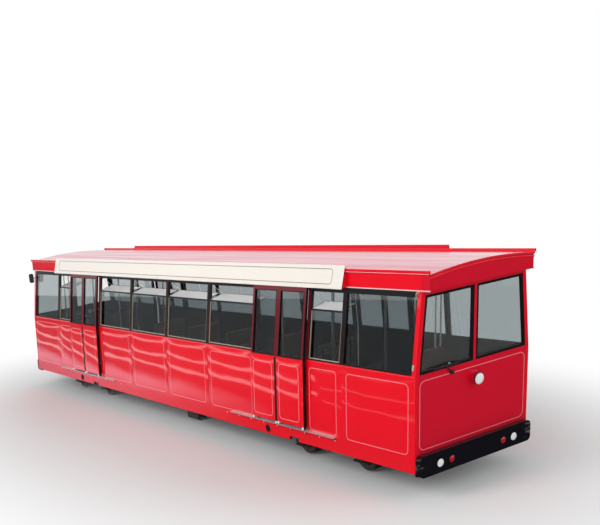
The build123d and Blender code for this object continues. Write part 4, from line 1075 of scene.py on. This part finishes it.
for kind, across, radius in (("white", 0.693, 0.065), ("red", 0.484, 0.055)):
    ring = Trim(kind + "_lamp_rims", "frame_black", "frame_black")
    lens = Trim(kind + "_lamp_lenses", "lens_" + kind, "lens_" + kind)
    inner = radius - 0.008
    rim = [(0, radius), (0.010, radius), (0.014, radius - 0.004), (0.010, radius - 0.009)]
    cap = [(0.0, 0.0), (0.0, inner), (0.009, inner), *dome(0.010, 0.018, inner, 7)]
    for end in BOTH:
        for hand in (-1, 1):
            seat = at(end * (HALF_LENGTH + BUMPER_REACH - 0.004), hand * across, BUMPER_LAMP_Z)
            axis = (end * COS, 0, -end * SIN)
            ring.turned(seat, axis, rim, 40)
            lens.turned(seat, axis, cap, 40)
    ring.done()
    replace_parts(lens.done(), kind + "_lamps")

# %% [markdown]
# Rounded copies. Sharp solid edges look like cut paper, so single bodies such as the bumpers, headers,
# leaves and bogie frames get copies with small bevels that catch the light, and the copies stand for them.


# %% Bevelled copies
FLAT = math.radians(0.5)
EDGE = math.radians(25)


def bevelled(node, width, body="car"):
    """A copy of a solid with its edges rounded, that stands for it."""
    bm = bmesh.new()
    bm.from_mesh(nodes[node].data)
    bmesh.ops.remove_doubles(bm, verts=bm.verts, dist=1e-5)
    bmesh.ops.dissolve_limit(bm, angle_limit=FLAT, verts=bm.verts, edges=bm.edges)
    sharp = [e for e in bm.edges if len(e.link_faces) == 2 and e.calc_face_angle(0.0) > EDGE]
    bmesh.ops.bevel(bm, geom=sharp, offset=width, segments=2, profile=0.5, affect="EDGES", clamp_overlap=True)
    mesh = bpy.data.meshes.new(node + "_rounded")
    bm.to_mesh(mesh)
    bm.free()
    for face in mesh.polygons:
        face.use_smooth = True
    mesh.materials.append(nodes[node].data.materials[0])
    even = modified(mesh, "WEIGHTED_NORMAL", {}, keep_sharp=True)
    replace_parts(settled(node + "_rounded", even, body), node)


for slot, width, solids in (
    ("chassis_black", 0.006, "bumper_front bumper_rear"),
    ("body_red", 0.005, "end_header_front end_header_rear"),
    ("body_red", 0.004, "roof"),
    ("body_red", 0.003, "gutters"),
    ("desk_black", 0.015, "driver_desks"),
    ("partition_panel", 0.008, "cab_partitions"),
    ("desk_black", 0.003, "wipers"),
):
    for node in solids.split():
        bevelled(node, width)
for leaf in LEAVES:
    bevelled(leaf, 0.004, leaf)
for end_name in ENDS:
    bevelled("bogie_frame_" + end_name, 0.006, "bogie_" + end_name)

# %% [markdown]
# Between the middle windows the posts are black outside. The strip over all the windows is black too: painted
# shade under the board. The posts at the doorways are maroon, the body red in painted shade, and the seams
# below the middle posts are maroon as dark joints. They are thin cover strips, screwed on over the joints.

# %% Post covers
POST = 0.031
SEAM = 0.004
dark = Trim("post_covers", "frame_black", "frame_black")
brown = Trim("door_post_shade_covers", "maroon_shade_and_seams", "body_red")
for side in BOTH:
    face = on_side(side)
    for s in (-BAY, 0, BAY, -CAB_POST, CAB_POST):
        dark.strip(face, s - POST, s + POST, WINDOW_BOTTOM, WINDOW_TOP)
    # The black strip over the windows is painted shade under the board.
    dark.strip(face, 0.09 - HALF_LENGTH, HALF_LENGTH - 0.09, WINDOW_TOP, FASCIA_BOTTOM - 0.003)
    # Maroon covers at the doorways are painted shade; the maroon seams below the middle posts are dark
    # joints.
    for s in (-DOOR_FAR, -2 * BAY, 2 * BAY, DOOR_FAR):
        brown.strip(face, s - POST, s + POST, WINDOW_BOTTOM, WINDOW_TOP)
    for s in (-BAY, 0, BAY):
        brown.strip(face, s - SEAM, s + SEAM, TREAD + 0.575, WAIST - 0.006)
settle(dark, brown)

# %% [markdown]
# Each vent is a pane in a thin frame, dropped inward on its hinges till it lies almost flat, and held by
# two stays. The frame is a rod round the pane's edge; a stay is a thinner rod up to the window head. Below
# the vent a beige wooden bead holds the fixed pane, and its deep edge shows from the uphill end.

# %% Vent frames and stays
# The vent panes are opaque white, a painted reflection of the sky.
VENT_TILT = math.radians(75)
VENT_LENGTH = WINDOW_TOP - 0.028 - VENT_HINGE
VENT_HEAD = WINDOW_TOP - 0.035
VENT_INSET = 0.030
VENT_ROD, STAY_ROD = 0.006, 0.0035
HINGE_Y = skin(VENT_HINGE, -0.021)
TIP_Y = HINGE_Y - VENT_LENGTH * math.sin(VENT_TILT)
TIP_Z = VENT_HINGE + VENT_LENGTH * math.cos(VENT_TILT)
WINDOWS = [(n * BAY + 0.03, (n + 1) * BAY - 0.03) for n in (-2, -1, 0, 1)]
WINDOWS += [span(end, DOOR_FAR + 0.03, CAB_POST - 0.03) for end in BOTH]
vent_bars = Trim("vent_frames", "frame_black", "frame_black")
stays = Trim("vent_stays", "pale_steel", "pole_steel")
sash = Trim("sash_beads", "sash_beige", "frame_black")
for side in BOTH:
    for first, last in WINDOWS:
        tips = []
        for s in (first + VENT_INSET, last - VENT_INSET):
            tip = at(s, side * TIP_Y, TIP_Z) + Vector((0, 0, 0.003))
            hinge = at(s, side * HINGE_Y, VENT_HINGE) + Vector((0, 0, 0.004))
            vent_bars.rod([hinge, tip], VENT_ROD)
            stays.rod([tip, on_side(side)(s, VENT_HEAD, -0.04)], STAY_ROD, 6)
            tips.append(tip)
        vent_bars.rod(tips, VENT_ROD)
        u0, u1, v0, v1 = first + 0.022, last - 0.022, WINDOW_BOTTOM + 0.022, VENT_HINGE - 0.008
        hole = oblong(u0 + 0.012, u1 - 0.012, v0 + 0.012, v1 - 0.004)
        sash.band(on_side(side), oblong(u0, u1, v0, v1), hole, -0.008, -0.0205)
settle(vent_bars, stays, sash)

# %% [markdown]
# The roof sheet ends in a lip over the arched header. A second, smaller bead follows the arch below it, and
# it is drawn as a rod through points of the same arc that the roof was made from. A rain spout ends each
# gutter, a small latch sits on each uphill corner, and the mirrors get their glass.

# %% Arch beads and corner fittings
ARCH_RISE = CROWN - ROOF_EDGE
ARCH_RADIUS = (FASCIA_Y ** 2 + ARCH_RISE ** 2) / (2 * ARCH_RISE)
HEADER_FACE = HALF_LENGTH + OVERHANG - 0.014
SPOUT = ((6.945, 2.795, 0.012), (6.925, 2.790, 0.03), (6.905, 2.765, 0.036), (6.898, 2.735, 0.03),
         (6.902, 2.70, 0.012), (6.906, 2.685, 0.0))
LATCH = rounded(6.900, 6.932, TREAD + 1.765, TREAD + 1.845, 0.012, 4)
MIRROR = rounded(-0.042, 0.042, -0.10, 0.10, 0.035)
MIRROR_Z = TREAD + 2.62


def arch(y, drop=0.0):
    """Height of the roof's outer face at half width y, or `drop` under it."""
    return CROWN - ARCH_RADIUS + math.sqrt(ARCH_RADIUS ** 2 - y ** 2) - drop


arch_bead = Trim("arch_beads", "trim_red", "body_red")
for end in BOTH:
    half_widths = [FASCIA_Y * (k / 12 - 1) for k in range(25)]
    arch_bead.rod([at(end * (HEADER_FACE + 0.001), y, arch(y, 0.052)) for y in half_widths], 0.011, 12)
arch_bead.done()

spouts = Trim("gutter_spouts", "pale_steel", "door_steel")
latches = Trim("window_latches", "pale_steel", "door_steel")
mirror_glass = Trim("mirror_glass", "mirror_dark", "frame_black")
for side in BOTH:
    spouts.rod([on_side(side)(s, TREAD + z, proud) for s, z, proud in SPOUT], 0.0085, 12)
    latches.plate(on_side(side), LATCH, 0.010, -0.001)
    def on_mirror(u, v, proud, middle=at(0.04 - HALF_LENGTH, side * (HALF + 0.01), MIRROR_Z)):
        """u across, v up, proud along the car."""
        return middle + Vector((proud, u, v))

    mirror_glass.plate(on_mirror, MIRROR, 0.0195, 0.017)
settle(spouts, latches, mirror_glass)

# %% [markdown]
# The benches are slatted: six boards to a seat and six to a back, on bent iron ends. They sit level on the
# hill, so in the car's frame they are turned by the slope. One tree lays each run of slats.

# %% Benches
SEAT_HEIGHT = 0.43
SEAT_UNDER = SEAT_HEIGHT - 0.024
BENCH_IN, BENCH_OUT = 0.25, HALF - 0.055
BENCHES = [(-2 * BAY, 1), (2 * BAY, -1)] + [(n * BAY, facing) for n in (-1, 0, 1) for facing in (1, -1)]
SLAT_RUNS = (
    ((0.072, SEAT_HEIGHT - 0.012), (0.07, 0), 0, 0.06, 0.022),
    ((0.026, SEAT_HEIGHT + 0.075), (0, 0.076), QUARTER, 0.064, 0.02),
)


def level_point(s, facing, along, up, y=0.0):
    """A point that is level on the hill, measured from the plumb line through s at the floor."""
    x = s + lean(FLOOR_TOP) + facing * along * COS + up * SIN
    return Vector((x, y, FLOOR_TOP - facing * along * SIN + up * COS))


slats = []
irons = Trim("bench_irons", "desk_black", "desk_black")
for side in BOTH:
    middle = side * (BENCH_IN + BENCH_OUT) / 2
    for s, facing in BENCHES:
        for (along, up), (along_step, up_step), turn, width, thickness in SLAT_RUNS:
            first = level_point(s, facing, along, up, middle)
            step = level_point(s, facing, along + along_step, up + up_step, middle) - first
            slats.append(grown(slat_row, "wood", first, step, 6, (0, LEAN + turn, 0),
                               Length=BENCH_OUT - BENCH_IN, Width=width, Thickness=thickness))
        low = [facing * along * SLANT for along in (0.19, 0.25)]
        leg = [(0.19, low[0]), (0.25, low[1]), (0.235, SEAT_UNDER - 0.02), (0.205, SEAT_UNDER - 0.02)]
        arm = [(0.01, SEAT_UNDER - 0.03), (0.44, SEAT_UNDER - 0.02), (0.44, SEAT_UNDER), (0.01, SEAT_UNDER)]
        for y in (BENCH_IN + 0.08, BENCH_OUT - 0.08):
            def place(u, v, proud, s=s, facing=facing, y=side * y):
                return level_point(s, facing, u, v, y + proud)
            for outline in (arm, oblong(0.008, 0.015, SEAT_UNDER, 0.89), leg):
                irons.plate(place, outline, 0.015, -0.015)
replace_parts(joined("bench_slats", slats), "seats")
irons.done()

# %% [markdown]
# The ceiling is one cream sheet under the roof, with a glowing strip of frosted glass along each side,
# which lights the vents from inside. Handrails hang below it over the bench ends, and the poles by the
# doors stand in turned flanges. Two white rails stand on each cab partition, close to one wall.

# %% Ceiling, handrails and pole flanges
CEILING_END = HALF_LENGTH - 0.06
CEILING_DROP = 0.034
POLE_Y = 0.52
HANDRAIL_Z = TREAD + 2.74
HANDRAIL_END = DOOR_FAR - 0.045
POLES = [end * s for end in BOTH for s in (2 * BAY + 0.045, HANDRAIL_END)]
FLANGE = [(-0.004, 0.0), (-0.004, 0.048), (0.008, 0.046), (0.012, 0.03), (0.045, 0.022), (0.05, 0.017),
          (0.05, 0.0)]
PARTITION_TOP = WAIST - 0.1
CEILING_HALF = 0.86
LAMP_Y, LAMP_END = 0.62, 5.2
GUARD_YS = (0.735, 0.84)
ceiling = Trim("ceiling_lining", "inner_cream", "cream")
across = [CEILING_HALF * (k / 12 - 1) for k in range(25)]
outline = [(y, arch(y, 0.030)) for y in across] + [(y, arch(y, CEILING_DROP)) for y in reversed(across)]
ceiling.plate(lambda y, z, s: at(s, y, z), outline, CEILING_END, -CEILING_END)

lamp_strip = Trim("ceiling_lamps", "lamp_glow", "lens_white")
for y in (-LAMP_Y, LAMP_Y):
    lamp_strip.rod([at(s, y, arch(y, 0.045)) for s in (-LAMP_END, LAMP_END)], 0.022, 12)

handrails = Trim("ceiling_rails", "pale_steel", "pole_steel")
flanges = Trim("pole_flanges", "pale_steel", "pole_steel")
for y in (-POLE_Y, POLE_Y):
    handrails.rod([at(s, y, HANDRAIL_Z) for s in (-HANDRAIL_END, HANDRAIL_END)], 0.015, 12)
    for s in (-BAY, 0, BAY):
        handrails.rod([at(s, y, z) for z in (HANDRAIL_Z, arch(y, CEILING_DROP))], 0.009)
    for s in POLES:
        flanges.turned(at(s, y, FLOOR_TOP), (SIN, 0, COS), FLANGE, 24)

guards = Trim("partition_rails", "white_enamel", "pole_steel")
for end in BOTH:
    for y in GUARD_YS:
        heights = (PARTITION_TOP - 0.004, arch(y, CEILING_DROP))
        guards.rod([at(end * (CAB_POST + 0.015), end * y, z) for z in heights], 0.013, 12)
settle(ceiling, lamp_strip, handrails, flanges, guards)

# %% [markdown]
# A rubber mat with ribs across the car lies inside each pair of doors. The ribs are the same slat tree with
# other sizes.

# %% Vestibule mats
RIB_STEP, RIBS = 0.04, 31
ribs = []
for end in BOTH:
    first = at(span(end, 2 * BAY + 0.12, DOOR_FAR - 0.12)[0], 0, FLOOR_TOP) + Vector((0, 0, 0.003))
    ribs.append(grown(slat_row, "rubber", first, (RIB_STEP, 0, 0), RIBS,
                      Length=1.96, Width=0.02, Thickness=0.013))
joined("vestibule_ribs", ribs)

# %% [markdown]
# On each desk, before the windscreen with the wiper, stand a hooded instrument box with three blank dials,
# a brake lever and two buttons. They are guessed from such cabs, since only their dark shape shows through
# the glass.

# %% Desk fittings
DESK_TOP = FLOOR_TOP + 0.88
DESK_MIDDLE = HALF_LENGTH - 0.2
WIPER_SIDE = -0.43
BOX_HALF = 0.22
DIAL_STEP = 0.13
BEHIND = -0.12
LEVER_PLACE = 0.30
BUTTON_PLACES = (-0.28, -0.35)
BOX = [(0.10, 0), (0.10, 0.14), (0.02, 0.15), (-0.06, 0.02), (-0.06, 0)]
DIAL = [(-0.01, 0.0), (-0.01, 0.048), (0.006, 0.048), (0.008, 0.042), (0.005, 0.040), (0.005, 0.0)]
LEVER = [(0, 0.0), (0, 0.03), (0.02, 0.025), (0.025, 0.008), (0.14, 0.007), (0.145, 0.018), (0.165, 0.02),
         (0.18, 0.012), (0.184, 0.0)]
BUTTON = [(0, 0.0), (0, 0.018), (0.012, 0.018), (0.02, 0.012), (0.022, 0.0)]
box = Trim("instrument_boxes", "desk_black", "desk_black")
dials = Trim("instrument_dials", "lens_white", "lens_white")
lever = Trim("brake_levers", "pale_steel", "pole_steel")
button = Trim("desk_buttons", "lens_red", "lens_red")
for end in BOTH:
    def on_desk(u, v, proud, end=end):
        """u along the car from the box's back, v up from the desk, proud across."""
        return at(end * (DESK_MIDDLE + u), end * WIPER_SIDE + proud, DESK_TOP + v)

    box.plate(on_desk, BOX, BOX_HALF, -BOX_HALF)
    for k in (-1, 0, 1):
        dials.turned(on_desk(-0.02, 0.085, k * DIAL_STEP), (-end * 0.13 * COS, 0, 0.08), DIAL)
    lever.turned(on_desk(BEHIND, 0.0, LEVER_PLACE * end), (0, 0, 1), LEVER, 20)
    for proud in BUTTON_PLACES:
        button.turned(on_desk(BEHIND, 0.0, proud * end), (0, 0, 1), BUTTON, 20)
settle(box, dials, lever, button)

# %% [markdown]
# Each axle box has wings, and a short coil spring stands on each wing under the bogie frame. A cap with
# four bolts closes the box outside. Springs and bolts come from the trees, one run for each side of a
# bogie.

# %% Axle springs, wings and caps
AXLE_HEIGHT = 0.247
FRAME_Y = 0.70
FRAME_UNDER = AXLE_HEIGHT + 0.053
BOX_UNDER = AXLE_HEIGHT - 0.085
SPRING_OUT = 0.137
BOLT_OUT = 0.042
WING_IN, WING_OUT = 0.088, 0.18
WHEELBASE = 1.5
BOGIE_IN = 2.375
CAP = [(0, 0.0), (0, 0.075), (0.012, 0.075), (0.018, 0.068), (0.020, 0.045), (0.030, 0.038), (0.032, 0.0)]
for end_name, end in ENDS.items():
    bogie = "bogie_" + end_name
    centre = end * (HALF_LENGTH - BOGIE_IN) + lean(FLOOR_TOP)
    wings = Trim(bogie + "_wings", "chassis", "chassis_black", bogie)
    caps = Trim(bogie + "_caps", "chassis", "chassis_black", bogie)
    coils, bolts = [], []
    for side in BOTH:
        def beside(u, v, proud, side=side):
            """u along the bogie, v up, proud across."""
            return Vector((u, side * FRAME_Y + proud, v))

        for axle in (centre - WHEELBASE / 2, centre + WHEELBASE / 2):
            for hand in (-1, 1):
                u0, u1 = sorted((axle + hand * WING_IN, axle + hand * WING_OUT))
                wing = rounded(u0, u1, BOX_UNDER + 0.004, BOX_UNDER + 0.02, 0.006, 2)
                wings.plate(beside, wing, 0.04, -0.04)
            coils.append(grown(coil_row, "wheel_steel", beside(axle - SPRING_OUT, BOX_UNDER + 0.022, 0),
                               (2 * SPRING_OUT, 0, 0), 2, Radius=0.03, Height=FRAME_UNDER - BOX_UNDER - 0.026,
                               Turns=4.5, Wire=0.006))
            caps.turned(beside(axle, AXLE_HEIGHT, side * 0.038), (0, side, 0), CAP)
            for hand in (-1, 1):
                seat = beside(axle - BOLT_OUT, AXLE_HEIGHT + hand * BOLT_OUT, side * 0.052)
                bolts.append(grown(dome_row, "wheel_steel", seat, (2 * BOLT_OUT, 0, 0), 2, (QUARTER, 0, 0),
                                   Radius=0.011, Rise=0.012))
    settle(wings, caps)
    joined(bogie + "_springs", coils, bogie)
    joined(bogie + "_bolts", bolts, bogie)

# %% [markdown]
# Last, the box round everything that renders, the floor left out, is measured. The dressed car may
# reach past the solids by a painted line, and no more.

# %% The box of what renders
low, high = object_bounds()
